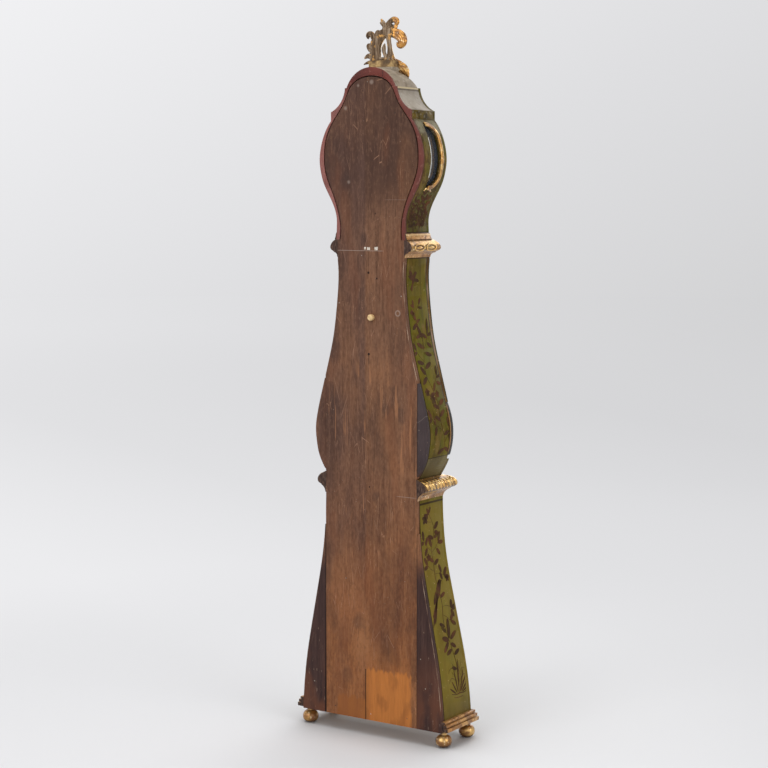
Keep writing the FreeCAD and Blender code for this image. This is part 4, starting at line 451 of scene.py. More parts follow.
def lacquer(name, base, dark, borders=case_borders):
    """Olive lacquer over pine: streaky, cloudy, crazed and chipped along its edges."""
    paint = Paint(name, Coat_Weight=0.02, Coat_Roughness=0.35, Specular_IOR_Level=0.1)
    cloud = paint.noise(10, 6, (1, 1, 0.5))
    brush = paint.noise(70, 5, (1, 1, 0.08), shift=6, warp=0.4)
    paint.tone = paint.over(cloud.ramp(0.32, 0.68), dark, base)
    paint.lay(brush.ramp(0.44, 0.68) * 0.45, (112, 92, 26))
    green = paint.noise(22, 5, (1, 1, 0.5), shift=13).ramp(0.48, 0.66)
    paint.lay(green * 0.6, (84, 86, 12))
    streak = paint.noise(40, 4, (1, 1, 0.04), shift=57).ramp(0.54, 0.66)
    paint.lay(streak * 0.4, (70, 50, 18))
    grime = paint.noise(30, 6, (1, 1, 0.6), shift=17).ramp(0.54, 0.7)
    paint.lay(grime * 0.42, (60, 42, 18))
    ochre = paint.noise(18, 4, (1, 1, 0.5), shift=21).ramp(0.54, 0.68)
    paint.lay(ochre * 0.5, (132, 104, 52))
    crazing = 1 - paint.cells(120, (1, 1, 0.5)).ramp(0.0, 0.04)
    paint.lay(crazing * 0.2, (40, 30, 14))
    border = borders(paint, cloud)
    chips = paint.noise(95, 5, shift=29).ramp(0.68, 0.7)
    paint.lay(chips * 0.75, (172, 144, 96))
    paint.set(Base_Color=paint.tone, Roughness=0.52 + grime * 0.2 + chips * 0.2)
    paint.bump(cloud * 0.6 - crazing * 0.25 - chips * 0.8 + brush * 0.4 - border * 1.2, 0.0005, 0.55)
    return paint.material


def roof_paint():
    """Worn grey paint with dust on its upper faces, brown at its edges, a pale line, and painted shade under
    its steps.
    """
    paint = Paint("grey_roof_paint", Specular_IOR_Level=0.15)
    z = paint.axes()[2]
    cloud = paint.noise(11, 6)
    paint.tone = paint.tints(cloud, (0.3, 110, 99, 81), (0.5, 151, 138, 121), (0.7, 178, 167, 151))
    cove = z.within(2.15, 2.222, 0.002)
    paint.lay(cove * 0.45, paint.tints(cloud, (0.35, 94, 90, 82), (0.65, 152, 146, 138)))
    band = z.within(2.119, 2.149, 0.001)
    green = paint.tints(paint.noise(45, 5, shift=3), (0.35, 52, 40, 10), (0.65, 108, 88, 28))
    paint.lay(band, green)
    brown = paint.noise(30, 5, shift=8).ramp(0.52, 0.68)
    paint.lay(brown * 0.5, (92, 74, 52))
    dust = paint.noise(85, 4, shift=5).ramp(0.55, 0.7)
    paint.lay(dust * 0.25, (190, 184, 176))
    line = z.within(2.2225, 2.2275, 0.0007) * paint.noise(50, 3, shift=6).ramp(0.3, 0.42)
    paint.lay(line * 0.8, (204, 186, 148))
    # Painted shade: thin dark bands under and between the roof's steps and fillets.
    under = z.within(2.2165, 2.2215, 0.001)
    for low, high, soft in ((2.1145, 2.1195, 0.0008), (2.149, 2.1505, 0.0005)):
        under = under.most(z.within(low, high, soft))
    paint.lay(under * 0.6, (58, 44, 30))
    plinth = z.ramp(2.296, 2.3)
    pale = paint.tints(paint.noise(36, 5, shift=12), (0.38, 84, 62, 38), (0.5, 140, 110, 70),
                       (0.62, 206, 174, 116))
    paint.lay(plinth * 0.9, pale)
    paint.set(Base_Color=paint.tone, Roughness=0.6 - band * 0.1)
    paint.bump(cloud + brown * 0.4 - under, 0.0006, 0.5)
    return paint.material


def gilding(name="water_gilding", wear=0.5, base=None, dull=0.0, ground=True):
    """Gold leaf over brown clay: bright on the high places and worn and brown in patches, with painted shade
    darkening its hollows and the ground behind its lobes, and paler patches, cream flecks and a pale band
    painted as highlights.
    """
    paint = Paint(name, Coat_Weight=0.25 * (1 - dull), Coat_Roughness=0.25)
    z = paint.axes()[2]
    gold = base or settings().gilt[:] + (1,)
    patina = paint.noise(75, 6, shift=2)
    broad = paint.noise(22, 5, shift=15)
    # Paler gold in broad patches, painted as highlights.
    paint.tone = paint.over(broad.ramp(0.46, 0.62) * (0.8 - dull), gold, (240, 200, 128))
    brown = paint.noise(34, 5, shift=25).ramp(0.6 - wear * 0.16, 0.72 - wear * 0.14)
    paint.lay(brown * 0.75, (116, 72, 36))
    rubbed = patina.ramp(0.66 - wear * 0.12, 0.74 - wear * 0.1)
    paint.lay(rubbed * 0.65, (132, 80, 42))
    cove = z.within(1.658, 1.6795, 0.001).most(z.within(0.84, 0.8645, 0.001))
    paint.lay(cove * 0.8, paint.tints(broad, (0.38, 112, 72, 36), (0.62, 184, 130, 76)))
    if ground:
        # Painted shade: the dark ground between the gadroons and round the waist moulding's ovals.
        behind = (z.within(1.6825, 1.7015, 0.0012) * 0.45).most(z.within(0.868, 0.909, 0.002))
        paint.lay(behind * 0.85, paint.tints(patina, (0.4, 52, 28, 12), (0.6, 104, 64, 30)))
    cuts = z.within(1.7385, 1.742, 0.0005).most(z.within(1.7175, 1.7195, 0.0005))
    paint.lay(cuts * 0.8, (56, 34, 20))
    # A pale band along the top of the hood's base moulding, painted as a highlight.
    paint.lay(z.within(1.7325, 1.7365, 0.0005) * 0.7, (232, 198, 144))
    # Painted shade: the gold is darkened where ambient occlusion finds hollows.
    hollow = paint.add("ShaderNodeAmbientOcclusion", {"samples": 6}, {"Distance": 0.014}, "AO")
    painted_hollow_shade = 1 - hollow.ramp(0.5, 0.96)
    paint.lay(painted_hollow_shade * (0.92 - dull), (62, 34, 15))
    # Cream flecks, painted as glints of highlight.
    pale = paint.noise(130, 3, shift=35).ramp(0.62, 0.68)
    paint.lay(pale * (0.65 - dull * 0.3), (255, 240, 204))
    leaf_left = 0.78 - dull * 0.4 - rubbed * 0.3 - brown * 0.25 - painted_hollow_shade * 0.2 - cove * 0.2
    paint.set(Base_Color=paint.tone, Metallic=leaf_left,
              Roughness=0.22 + rubbed * 0.3 + broad * 0.14 + dull * 0.2)
    paint.bump(patina * 0.6 + broad - rubbed * 0.5 - cuts, 0.0006, 0.6)
    return paint.material


def painted_leaves():
    """Thin dark brown paint of the plants, rubbed so that the ground shows through."""
    paint = Paint("brown_plant_paint", Specular_IOR_Level=0.1)
    wear = paint.noise(55, 5, shift=3)
    paint.tone = paint.tints(paint.noise(18, 4, shift=9), (0.35, 60, 40, 20), (0.5, 74, 46, 27),
                             (0.65, 96, 58, 34))
    paint.lay(wear.ramp(0.52, 0.66) * 0.6, (86, 70, 28))
    paint.set(Base_Color=paint.tone, Roughness=0.5 + wear * 0.15)
    paint.bump(wear, 0.0003, 0.4)
    return paint.material


def carving_back():
    """Bare carved limewood, greyed by dust, as left behind the gilding, with painted shade darkening its
    hollows.
    """
    paint = Paint("dusty_carved_wood", Specular_IOR_Level=0.2)
    streaks = paint.noise(90, 5, (1, 1, 0.15))
    paint.tone = paint.tints(streaks, (0.34, 70, 52, 36), (0.5, 112, 90, 68), (0.66, 160, 140, 118))
    # Painted shade in the carving's hollows, found by ambient occlusion.
    hollow = paint.add("ShaderNodeAmbientOcclusion", {"samples": 6}, {"Distance": 0.012}, "AO")
    paint.lay((1 - hollow.ramp(0.45, 0.95)) * 0.9, (44, 30, 20))
    leaf = paint.noise(60, 4, shift=9).ramp(0.56, 0.64)
    paint.lay(leaf * 0.7, (196, 146, 78))
    paint.set(Base_Color=paint.tone, Metallic=leaf * 0.4, Roughness=0.72 - leaf * 0.3)
    paint.bump(streaks, 0.0008, 0.6)
    return paint.material


def raw_pine():
    """Planed pine that has only yellowed."""
    paint = Paint("yellowed_pine")
    streaks, lines, _ = grain_of(paint)
    paint.tone = paint.tints(streaks, (0.3, 156, 112, 66), (0.6, 190, 148, 98), (0.8, 212, 176, 128))
    paint.lay(lines.ramp(0.55, 0.8) * 0.5, (132, 88, 48))
    paint.set(Base_Color=paint.tone, Roughness=0.7)
    paint.bump(streaks + lines, 0.0005, 0.5)
    return paint.material


def peg_wood():
    """A pale turned peg with rings about its end."""
    paint = Paint("turned_birch")
    x, _, z = paint.axes()
    away = paint.count("SQRT", (x + 0.007) * (x + 0.007) + (z - 1.455) * (z - 1.455))
    rings = paint.count("SINE", away * 2600) * 0.5 + 0.5
    fleck = paint.noise(180, 4)
    paint.tone = paint.over(rings * 0.35, (230, 200, 146), (196, 154, 96))
    paint.lay(fleck.ramp(0.55, 0.7) * 0.4, (176, 132, 80))
    paint.set(Base_Color=paint.tone, Roughness=0.5)
    paint.bump(rings + fleck, 0.0003, 0.5)
    return paint.material


def metal(name, base, dark, shine, patches=30.0, whole=1.0):
    """A metal with tarnish in patches and fine brushing."""
    paint = Paint(name)
    patch = paint.noise(patches, 5)
    brush = paint.noise(420, 3, (1, 1, 0.2), shift=4)
    stain = patch.ramp(0.45, 0.72)
    paint.tone = paint.over(stain * 0.7, base, dark)
    paint.set(Base_Color=paint.tone, Metallic=whole - stain * 0.15,
              Roughness=shine + stain * 0.25 + brush * 0.08)
    paint.bump(patch * 0.6 + brush * 0.3, 0.0003, 0.4)
    return paint.material


def enamel():
    """Off-white painted sheet iron, a little yellowed, with hairline crazing."""
    paint = Paint("dial_enamel", Coat_Weight=0.2)
    cloud = paint.noise(16, 5)
    crazing = 1 - paint.cells(60).ramp(0.0, 0.02)
    paint.tone = paint.over(cloud.ramp(0.35, 0.7), (240, 236, 222), (226, 218, 196))
    paint.lay(crazing * 0.14, (120, 100, 74))
    paint.set(Base_Color=paint.tone, Roughness=0.36 + cloud * 0.1)
    paint.bump(cloud - crazing * 0.3, 0.0002, 0.4)
    return paint.material


def old_glass(name="crown_glass", clear_share=1.0, tint=(238, 244, 242)):
    """Crown glass with a slight wave and smears of old dirt; a darker tint and less clearness, where given,
    are painted shade and reflection.
    """
    paint = Paint(name, Transmission_Weight=clear_share, IOR=1.5)
    wave = paint.noise(9, 2)
    smear = paint.noise(24, 4, shift=8).ramp(0.5, 0.8)
    paint.set(Base_Color=paint.over(smear * 0.25, tint, (206, 216, 220)), Roughness=0.02 + smear * 0.05)
    paint.bump(wave, 0.0006, 0.3)
    return paint.material


def gut_line():
    """Twisted gut, yellow brown."""
    paint = Paint("twisted_gut")
    x, _, z = paint.axes()
    turn = paint.count("SINE", z * 2400 + x * 2500) * 0.5 + 0.5
    fleck = paint.noise(300, 2)
    paint.tone = paint.over(turn, (116, 92, 58), (186, 160, 112))
    paint.lay(fleck * 0.3, (92, 70, 42))
    paint.set(Base_Color=paint.tone, Roughness=0.6)
    paint.bump(turn, 0.0003, 0.8)
    return paint.material


def rubbed_through(name, pattern, edge, below, above, gloss, rough, grain, **constants):
    """A finish that one noise rubs through to another tone; gloss and rough each follow it."""
    paint = Paint(name, **constants)
    wear = paint.noise(*pattern)
    paint.set(Base_Color=paint.over(wear.ramp(*edge), below, above), Metallic=wear * gloss[1] + gloss[0],
              Roughness=wear * rough[1] + rough[0])
    paint.bump(wear, *grain)
    return paint.material


def mottled(name, pattern, rough, grain, constants, *stops):
    """A finish whose tone, and where it is rougher its roughness, follow one noise."""
    paint = Paint(name, **constants)
    cloud = paint.noise(*pattern)
    even, more = rough
    paint.set(Base_Color=paint.tints(cloud, *stops), Roughness=cloud * more + even if more else even)
    paint.bump(cloud, *grain)
    return paint.material


# A mottled finish has its name, its noise's scale, detail and stretch, its roughness and what the
# noise adds to it, the depth and strength of its bump, its shine or coat, and its tones. Worn edges,
# old paint and bare ends are all of this kind.
MOTTLED = {
    "arris": ("rubbed_edge", (42, 5, (1, 1, 0.35)), (0.7, 0), (0.0005, 0.5), {"Specular_IOR_Level": 0.2},
              (0.36, 72, 50, 40), (0.48, 132, 104, 84), (0.6, 192, 168, 144)),
    "rim_wear": ("rubbed_red_edge", (46, 5, (1, 1, 0.35)), (0.65, 0), (0.0004, 0.5),
                 {"Specular_IOR_Level": 0.2}, (0.4, 92, 46, 40), (0.54, 132, 82, 72), (0.66, 172, 132, 116)),
    "black": ("black_lacquer", (36, 5, (1, 1, 0.3)), (0.38, 0.2), (0.0004, 0.5), {"Coat_Weight": 0.2},
              (0.5, 22, 18, 15), (0.62, 46, 34, 24), (0.72, 128, 100, 66)),
    "end_grain": ("sawn_moulding_end", (150, 4, (1, 1, 0.4)), (0.75, 0), (0.0005, 0.6),
                  {"Specular_IOR_Level": 0.15}, (0.3, 48, 36, 34), (0.55, 78, 60, 52), (0.8, 112, 90, 78)),
    # The hood's inside: a dark blue-grey that is painted shade, for the dark seen through its windows.
    "inside_dark": ("hood_inside_painted_shade", (14, 5), (0.7, 0), (0.0004, 0.4), {"Specular_IOR_Level": 0.2},
                    (0.35, 42, 44, 54), (0.65, 70, 70, 84)),
    "putty": ("white_putty", (160, 4), (0.75, 0), (0.0003, 0.6), {"Specular_IOR_Level": 0.2},
              (0.35, 206, 204, 196), (0.6, 238, 238, 234)),
    "paper": ("old_paper", (300, 4), (0.85, 0), (0.0002, 0.5), {"Specular_IOR_Level": 0.2},
              (0.35, 176, 160, 140), (0.6, 222, 214, 202)),
}
# A metal has its name, its tone, its tarnish and its roughness, and may have the scale of its tarnish
# and how much of it is metal.
METALS = {
    "hinge_iron": ("forged_iron", (58, 56, 56), (92, 58, 40), 0.5),
    "fitting_brass": ("aged_brass", (196, 154, 84), (104, 78, 44), 0.3),
    "movement_brass": ("clock_brass", (212, 172, 96), (136, 104, 56), 0.25),
    "bell_metal": ("bell_metal", (196, 168, 112), (110, 92, 60), 0.28),
    "hand_steel": ("blued_steel", (40, 42, 54), (30, 28, 30), 0.3),
    "weight_iron": ("cast_iron", (66, 64, 62), (84, 58, 42), 0.6, 45.0, 0.8),
}
# The other finishes are made by functions of their own.
MAKERS = {
    "back_pine": old_pine, "dark_wings": wing_wood, "hood_rim_red": red_paint, "grey_roof": roof_paint,
    "green_lacquer": lambda: lacquer("olive_lacquer", settings().lacquer[:] + (1,), (84, 72, 16)),
    "hood_lacquer": lambda: lacquer("greyed_lacquer", (100, 90, 46), (76, 68, 36), hood_borders),
    "gilt_wood": gilding,
    "gilt_carving": lambda: gilding("carved_gilding", 0.3, (236, 184, 104), ground=False),
    "crest_gilding": lambda: gilding("crest_gilding", 0.9, (188, 134, 64), 0.12, ground=False),
    "raw_pine": raw_pine, "peg": peg_wood, "painting": painted_leaves, "carving_back": carving_back,
    "gilt_line": lambda: rubbed_through(
        "gilt_line_paint", (80, 4, (1, 1, 1), 5), (0.44, 0.56), (140, 114, 56), (84, 64, 30),
        (0.35, -0.3), (0.45, 0), (0.0002, 0.4), Specular_IOR_Level=0.3),
    "nail": lambda: rubbed_through(
        "nail_heads", (90, 3), (0.42, 0.58), (52, 42, 38), (176, 164, 150), (0.5, 0), (0.5, -0.2),
        (0.0003, 0.5)),
    "dial_ink": lambda: rubbed_through(
        "dial_ink", (120, 4), (0.6, 0.72), (22, 20, 20), (64, 58, 52), (0, 0), (0.45, 0.1), (0.0001, 0.3)),
    "dull_gilding": lambda: gilding("dulled_gilding", 0.8, (188, 136, 78), 0.5),
    "foot_gilding": lambda: gilding("foot_gilding", 1.1, (176, 128, 68), 0.1),
    "dial_white": enamel,
    "window_glass": old_glass,
    # The side panes' grey-blue tint and lower clearness stand in for the shade and blue reflection seen in
    # the windows.
    "side_glass": lambda: old_glass("shade_tinted_side_glass", 0.88, (150, 158, 172)),
    "line_cord": gut_line,
}
made = {}


def finish_of(name):
    """The material of a finish, made once."""
    if name not in made:
        if name in METALS:
            made[name] = metal(*METALS[name])
        elif name in MOTTLED:
            made[name] = mottled(*MOTTLED[name])
        else:
            made[name] = MAKERS[name]()
    return made[name]


def settings():
    return bpy.context.scene.clock_looks


# Modelling
def clear():
    bpy.ops.object.select_all(action="DESELECT")


def only(piece):
    """Selects one object and makes it the active one."""
    clear()
    piece.select_set(True)
    bpy.context.view_layer.objects.active = piece
    return piece


def coat(node, finish):
    """Gives a carried-over node its finish."""
    piece = NODES[node]
    piece.data.materials.clear()
    piece.data.materials.append(finish_of(finish))
    for face in piece.data.polygons:
        face.material_index = 0


def modify(piece, kind, **values):
    """Adds a modifier with these values and applies it."""
    modifier = piece.modifiers.new(kind.title(), kind)
    for name, value in values.items():
        setattr(modifier, name, value)
    only(piece)
    bpy.ops.object.modifier_apply(modifier=modifier.name)
    return piece


def copied(node, name):
    """A clean copy of a node's mesh, its triangles merged and its flat faces made whole."""
    piece = NODES[node].copy()
    piece.data = NODES[node].data.copy()
    for key in list(piece.keys()):
        del piece[key]
    piece.parent = None
    piece.name = name
    bpy.context.scene.collection.objects.link(piece)
    piece.data.materials.clear()
    only(piece)
    bpy.ops.object.mode_set(mode="EDIT")
    bpy.ops.mesh.customdata_custom_splitnormals_clear()
    bpy.ops.mesh.select_all(action="SELECT")
    bpy.ops.mesh.remove_doubles(threshold=0.00001)
    bpy.ops.mesh.dissolve_limited(angle_limit=math.radians(0.4))
    bpy.ops.object.mode_set(mode="OBJECT")
    return piece


def done(piece, body, slot, *finishes, angle=30.0, choose=None):
    """Names what the piece is made of, smooths it and lets it ride on its body."""
    only(piece)
    bpy.ops.object.transform_apply(location=True, rotation=True, scale=True)
    if angle:
        bpy.ops.object.shade_smooth_by_angle(angle=math.radians(angle))
    if choose:
        for face in piece.data.polygons:
            face.material_index = choose(face)
    indexes = [face.material_index for face in piece.data.polygons]
    piece.data.materials.clear()
    for finish in finishes:
        piece.data.materials.append(finish_of(finish))
    for face, index in zip(piece.data.polygons, indexes):
        face.material_index = min(index, len(finishes) - 1)
    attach(piece, body)
    return piece


def softened(node, *finishes, width=1.0, segments=2, worn=None, angle=40.0, choose=None):
    """Stands in for a node with its arrises rounded; where they are worn they show the last finish."""
    piece = copied(node, node + "_finished")
    for _ in finishes:
        piece.data.materials.append(None)
    if choose:
        for face in piece.data.polygons:
            face.material_index = choose(face)
    modify(piece, "BEVEL", width=width / 1000, segments=segments, limit_method="ANGLE",
           angle_limit=math.radians(angle), use_clamp_overlap=True, harden_normals=False,
           material=len(finishes) - 1 if worn else -1)
    if worn:
        for face in piece.data.polygons:
            if not worn(face.center):
                face.material_index = 0
    done(piece, BODY_OF[node], SLOT_OF[node], *finishes)
    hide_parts(node)
    return piece


def joined(pieces, name):
    """Makes one piece of several meshes."""
    clear()
    for piece in pieces:
        piece.select_set(True)
    bpy.context.view_layer.objects.active = pieces[0]
    if len(pieces) > 1:
        bpy.ops.object.join()
    pieces[0].name = name
    return pieces[0]


def twin(piece, move=(0, 0, 0), turn=None, size=(1, 1, 1)):
    """A copy with its own mesh, scaled, turned about the origin, then moved."""
    copy = piece.copy()
    copy.data = piece.data.copy()
    bpy.context.scene.collection.objects.link(copy)
    place = Matrix.Diagonal((*size, 1))
    if turn:
        place = Matrix.Rotation(turn[0], 4, turn[1]) @ place
    copy.data.transform(Matrix.Translation(move) @ place)
    if size[0] * size[1] * size[2] < 0:
        copy.data.flip_normals()
    return copy


def rods(name, runs, round_sides=3, closed=False, steps=5):
    """Carved strokes: each run is a row of points, a Vector and a radius in metres."""
    curve = bpy.data.curves.new(name, "CURVE")
    curve.dimensions = "3D"
    curve.bevel_depth = 1.0
    curve.bevel_resolution = round_sides
    curve.use_fill_caps = True
    for run in runs:
        line = curve.splines.new("NURBS")
        line.points.add(len(run) - 1)
        for point, (place, radius) in zip(line.points, run):
            point.co = (*place, 1)
            point.radius = radius
        line.order_u = 3
        line.use_endpoint_u = not closed
        line.use_cyclic_u = closed
        line.resolution_u = steps
    piece = bpy.data.objects.new(name, curve)
    bpy.context.scene.collection.objects.link(piece)
    only(piece)
    bpy.ops.object.convert(target="MESH")
    return bpy.context.object


class Wall:
    """The outer face of some nodes, felt from outside along one axis."""

    def __init__(self, facing, *nodes):
        self.facing = Vector(facing)
        points = []
        faces = []
        for node in nodes:
            mesh = NODES[node].data
            start = len(points)
            points += [vertex.co.copy() for vertex in mesh.vertices]
            faces += [[start + index for index in face.vertices] for face in mesh.polygons]
        self.tree = BVHTree.FromPolygons(points, faces)

    def at(self, along, z, lift=0.0):
        """The place that is seen at a depth, or across for a front, and a height, all in mm."""
        if self.facing.x:
            start = Vector((self.facing.x, REAR - along / 1000, z / 1000))
        else:
            start = Vector((along / 1000, self.facing.y, z / 1000))
        place, normal = self.tree.ray_cast(start, -self.facing)[:2]
        if place is None:
            raise RuntimeError("no wall at " + str((along, z)))
        if normal.dot(self.facing) < 0:
            normal = -normal
        return place + normal * lift / 1000


def around(centre, reach, turn):
    """A place on a circle, in mm across and up, its turn counted from the top."""
    return reach * math.sin(turn), centre + reach * math.cos(turn)


class Drawing:
    """Flat painted shapes, drawn in mm across and up, and then laid on a wall."""

    def __init__(self, name, bold=1.0):
        self.name = name
        self.bold = bold
        self.pieces = []
        self.lines = bpy.data.curves.new(name, "CURVE")
        self.lines.dimensions = "3D"
        self.lines.extrude = 0.001
        clear()
        bpy.ops.mesh.primitive_plane_add(size=1)
        self.square = bpy.context.object
        half, drawn_out = 0.4, 1.25
        bpy.ops.mesh.primitive_circle_add(vertices=12, radius=half, fill_type="TRIFAN",
                                          rotation=(0, 0, math.pi / 2))
        self.blade = bpy.context.object
        bpy.ops.object.transform_apply(rotation=True)
        for vertex in self.blade.data.vertices:
            vertex.select = abs(vertex.co.x) > half * 0.97
        bpy.ops.object.mode_set(mode="EDIT")
        bpy.ops.mesh.select_mode(type="VERT")
        bpy.ops.transform.resize(value=(drawn_out, 1, 1))
        bpy.ops.mesh.select_all(action="SELECT")
        bpy.ops.mesh.subdivide(number_cuts=1)
        bpy.ops.object.mode_set(mode="OBJECT")

    def leaf(self, foot, turn, length, width):
        """A pointed leaf that grows from its foot in a direction."""
        length *= self.bold
        width *= self.bold * 1.2
        angle = math.radians(turn)
        middle = Vector((foot[0] + math.cos(angle) * length / 2, foot[1] + math.sin(angle) * length / 2, 0))
        self.pieces.append(twin(self.blade, middle / 1000, (angle, "Z"), (length / 1000, width / 1000, 1)))

    def line(self, points, wide, taper=0.4, closed=False):
        """A brush line through points, thinner at both ends unless it is closed."""
        line = self.lines.splines.new("NURBS")
        line.points.add(len(points) - 1)
        for index, (point, place) in enumerate(zip(line.points, points)):
            point.co = (place[0] / 1000, place[1] / 1000, 0, 1)
            share = 0 if closed else abs(index / (len(points) - 1) * 2 - 1)
            point.radius = wide / 2 * (1 - (1 - taper) * share)
            point.tilt = math.pi / 2
        line.order_u = 3
        line.use_endpoint_u = not closed
        line.use_cyclic_u = closed
        line.resolution_u = 5

    def ring(self, centre, reach, wide):
        """An even circle."""
        steps = 48
        self.line([around(centre, reach, math.tau * step / steps) for step in range(steps)], wide,
                  closed=True)

    def bar(self, start, end, wide):
        """A straight stroke of even width with square ends."""
        run = Vector(end) - Vector(start)
        middle = (Vector(start) + Vector(end)) / 2000
        turn = (math.atan2(run.y, run.x), "Z")
        self.pieces.append(twin(self.square, (middle.x, middle.y, 0), turn,
                                (run.length / 1000, wide / 1000, 1)))

    def laid(self, wall, lift=0.4, thick=0.35, ends=(-1000, 1000)):
        """Lays the drawing on a wall, kept between two ends, and gives it a thickness."""
        bpy.data.objects.remove(self.blade)
        bpy.data.objects.remove(self.square)
        if self.lines.splines:
            piece = bpy.data.objects.new(self.name, self.lines)
            bpy.context.scene.collection.objects.link(piece)
            only(piece)
            bpy.ops.object.convert(target="MESH")
            self.pieces.append(bpy.context.object)
        piece = joined(self.pieces, self.name)
        for face in piece.data.polygons:
            face.select = face.normal.z < 0
        only(piece)
        bpy.ops.object.mode_set(mode="EDIT")
        bpy.ops.mesh.select_mode(type="FACE")
        bpy.ops.mesh.flip_normals()
        bpy.ops.object.mode_set(mode="OBJECT")
        for vertex in piece.data.vertices:
            along = min(max(vertex.co.x * 1000, ends[0]), ends[1])
            vertex.co = wall.at(along, vertex.co.y * 1000, lift)
        modify(piece, "SOLIDIFY", thickness=thick / 1000, offset=-1)
        return piece


# Settings
class ClockLooks(bpy.types.PropertyGroup):
    """Colours and sizes that a user may change before the pieces are made."""
    pine: bpy.props.FloatVectorProperty(
        name="Pine", description="Middle tone of the plank at the back", subtype="COLOR",
        default=colour(117, 83, 63)[:3], min=0, max=1)
    lacquer: bpy.props.FloatVectorProperty(
        name="Lacquer", description="Olive of the painted boards", subtype="COLOR",
        default=colour(112, 100, 22)[:3], min=0, max=1)
    gilt: bpy.props.FloatVectorProperty(
        name="Gilt", description="Gold of the carved mouldings", subtype="COLOR",
        default=colour(198, 146, 76)[:3], min=0, max=1)
    floor: bpy.props.FloatVectorProperty(
        name="Floor", description="Colour of the studio floor", subtype="COLOR",
        default=colour(226, 226, 228)[:3], min=0, max=1)
    arris: bpy.props.FloatProperty(
        name="Arris", description="Width of the rubbed edges of the boards",
        default=0.0024, min=0.0002, max=0.004, unit="LENGTH", subtype="DISTANCE")


def inner_side(face):
    """1 for the faces that look into the case."""
    return 1 if face.normal.x * face.center.x < -0.02 else 0


def rear_side(face):
    """1 for the faces that look to the rear."""
    return 1 if face.normal.y > 0.5 else 0


def door_sides(face):
    """0 for the front of the door, 1 for its edges and 2 for its bare back."""
    if abs(face.normal.y) < 0.6:
        return 1
    return 0 if face.normal.y < 0 else 2


class CLOCK_OT_boards(bpy.types.Operator):
    """Finish the plank, the wings and the boards of the case"""
    bl_idname = "clock.boards"
    bl_label = "Boards of the case"

    def execute(self, context):
        softened("backboard", "back_pine", "arris", width=context.scene.clock_looks.arris * 1000, segments=3,
                 worn=lambda place: 1.11 < place.z < 1.66 and place.y > REAR - 0.003)
        softened("back_wings", "dark_wings", "arris", width=0.8,
                 worn=lambda place: 0.12 < place.z < 0.6 and abs(place.x) > 0.195 and place.y > REAR - 0.003)
        for node in ("trunk_side_left", "trunk_side_right", "base_side_left", "base_side_right"):
            softened(node, "green_lacquer", "raw_pine", width=0.8, choose=inner_side)
        for node in ("belly_blocks", "trunk_front_frame", "base_front"):
            softened(node, "green_lacquer", width=0.8)
        softened("trunk_door", "green_lacquer", "black", "raw_pine", width=1.2, choose=door_sides)
        for node in ("bottom_board", "seatboard"):
            softened(node, "raw_pine", width=0.8)
        return {"FINISHED"}


class CLOCK_OT_peg(bpy.types.Operator):
    """Turn the peg at the back, and drive the nails"""
    bl_idname = "clock.peg"
    bl_label = "Peg and nails"

    def execute(self, context):
        softened("wall_peg", "peg", width=1.4, segments=3)
        clear()
        bpy.ops.mesh.primitive_cone_add(vertices=14, radius1=0.0022, radius2=0.0013, depth=0.0014)
        nail = context.object
        bpy.ops.object.mode_set(mode="EDIT")
        bpy.ops.mesh.select_all(action="SELECT")
        bpy.ops.mesh.bevel(offset=0.0005, segments=2)
        bpy.ops.transform.translate(value=(0, 0, 0.0004))
        bpy.ops.object.mode_set(mode="OBJECT")
        pieces = []
        heads = ((0.036, 1.664), (-0.197, 1.081), (0.104, 0.545), (0.012, 2.246), (-0.1, 2.14), (0.165, 1.1),
                 (-0.205, 0.3), (-0.225, 0.2), (0.215, 0.28), (0.24, 0.16), (-0.15, 0.085),
                 (0.0, 0.078), (0.15, 0.085), (0.13, 1.5), (-0.125, 1.53))
        for x, z in heads:
            pieces.append(twin(nail, (x, REAR, z), (-math.pi / 2, "X")))
        bpy.data.objects.remove(nail)
        done(joined(pieces, "back_nails"), "case", "hinge_iron", "nail")
        return {"FINISHED"}


class CLOCK_OT_paper(bpy.types.Operator):
    """Leave the blank remains of paper slips on the plank"""
    bl_idname = "clock.paper"
    bl_label = "Remains of paper"

    def execute(self, context):
        pieces = []
        chance = random.Random(5)
        for x, z, wide, tall in ((0.022, 1.6885, 0.008, 0.009), (0.008, 1.688, 0.013, 0.01),
                                 (-0.0235, 1.688, 0.015, 0.012)):
            clear()
            bpy.ops.mesh.primitive_grid_add(x_subdivisions=8, y_subdivisions=6, size=1)
            slip = context.object
            for vertex in slip.data.vertices:
                edge = max(abs(vertex.co.x), abs(vertex.co.y)) > 0.49
                ragged = chance.uniform(0.82, 1.0) if edge else 1
                vertex.co = Vector((vertex.co.x * ragged * wide, vertex.co.y * ragged * tall,
                                    chance.uniform(0, 0.0001)))
            place = Matrix.Translation((x, REAR + 0.0003, z)) @ Matrix.Rotation(-math.pi / 2, 4, "X")
            slip.data.transform(place @ Matrix.Rotation(chance.uniform(-0.08, 0.08), 4, "Z"))
            modify(slip, "SOLIDIFY", thickness=0.0003, offset=-1)
            pieces.append(slip)
        done(joined(pieces, "paper_remains"), "case", "back_pine", "paper")
        return {"FINISHED"}


# Where along a leaf its gold vein begins, passes and ends
TRUNK_VEIN_SHARES = (0.12, 0.5, 0.92)
BASE_VEIN_SHARES = (0.1, 0.5, 0.92)
PETAL_VEIN_SHARES = (0.2, 0.5, 0.85)
BUSH_VEIN_SHARES = (0, 0.5, 0.9)
FRONT_VEIN_SHARES = (0.1, 0.5, 0.9)


def veined(paint, gold, foot, turn, length, width, vein_shares, wide):
    """A leaf with its gold vein."""
    paint.leaf(foot, turn, length, width)
    angle = math.radians(turn)
    gold.line([(foot[0] + math.cos(angle) * length * share, foot[1] + math.sin(angle) * length * share)
               for share in vein_shares], wide)


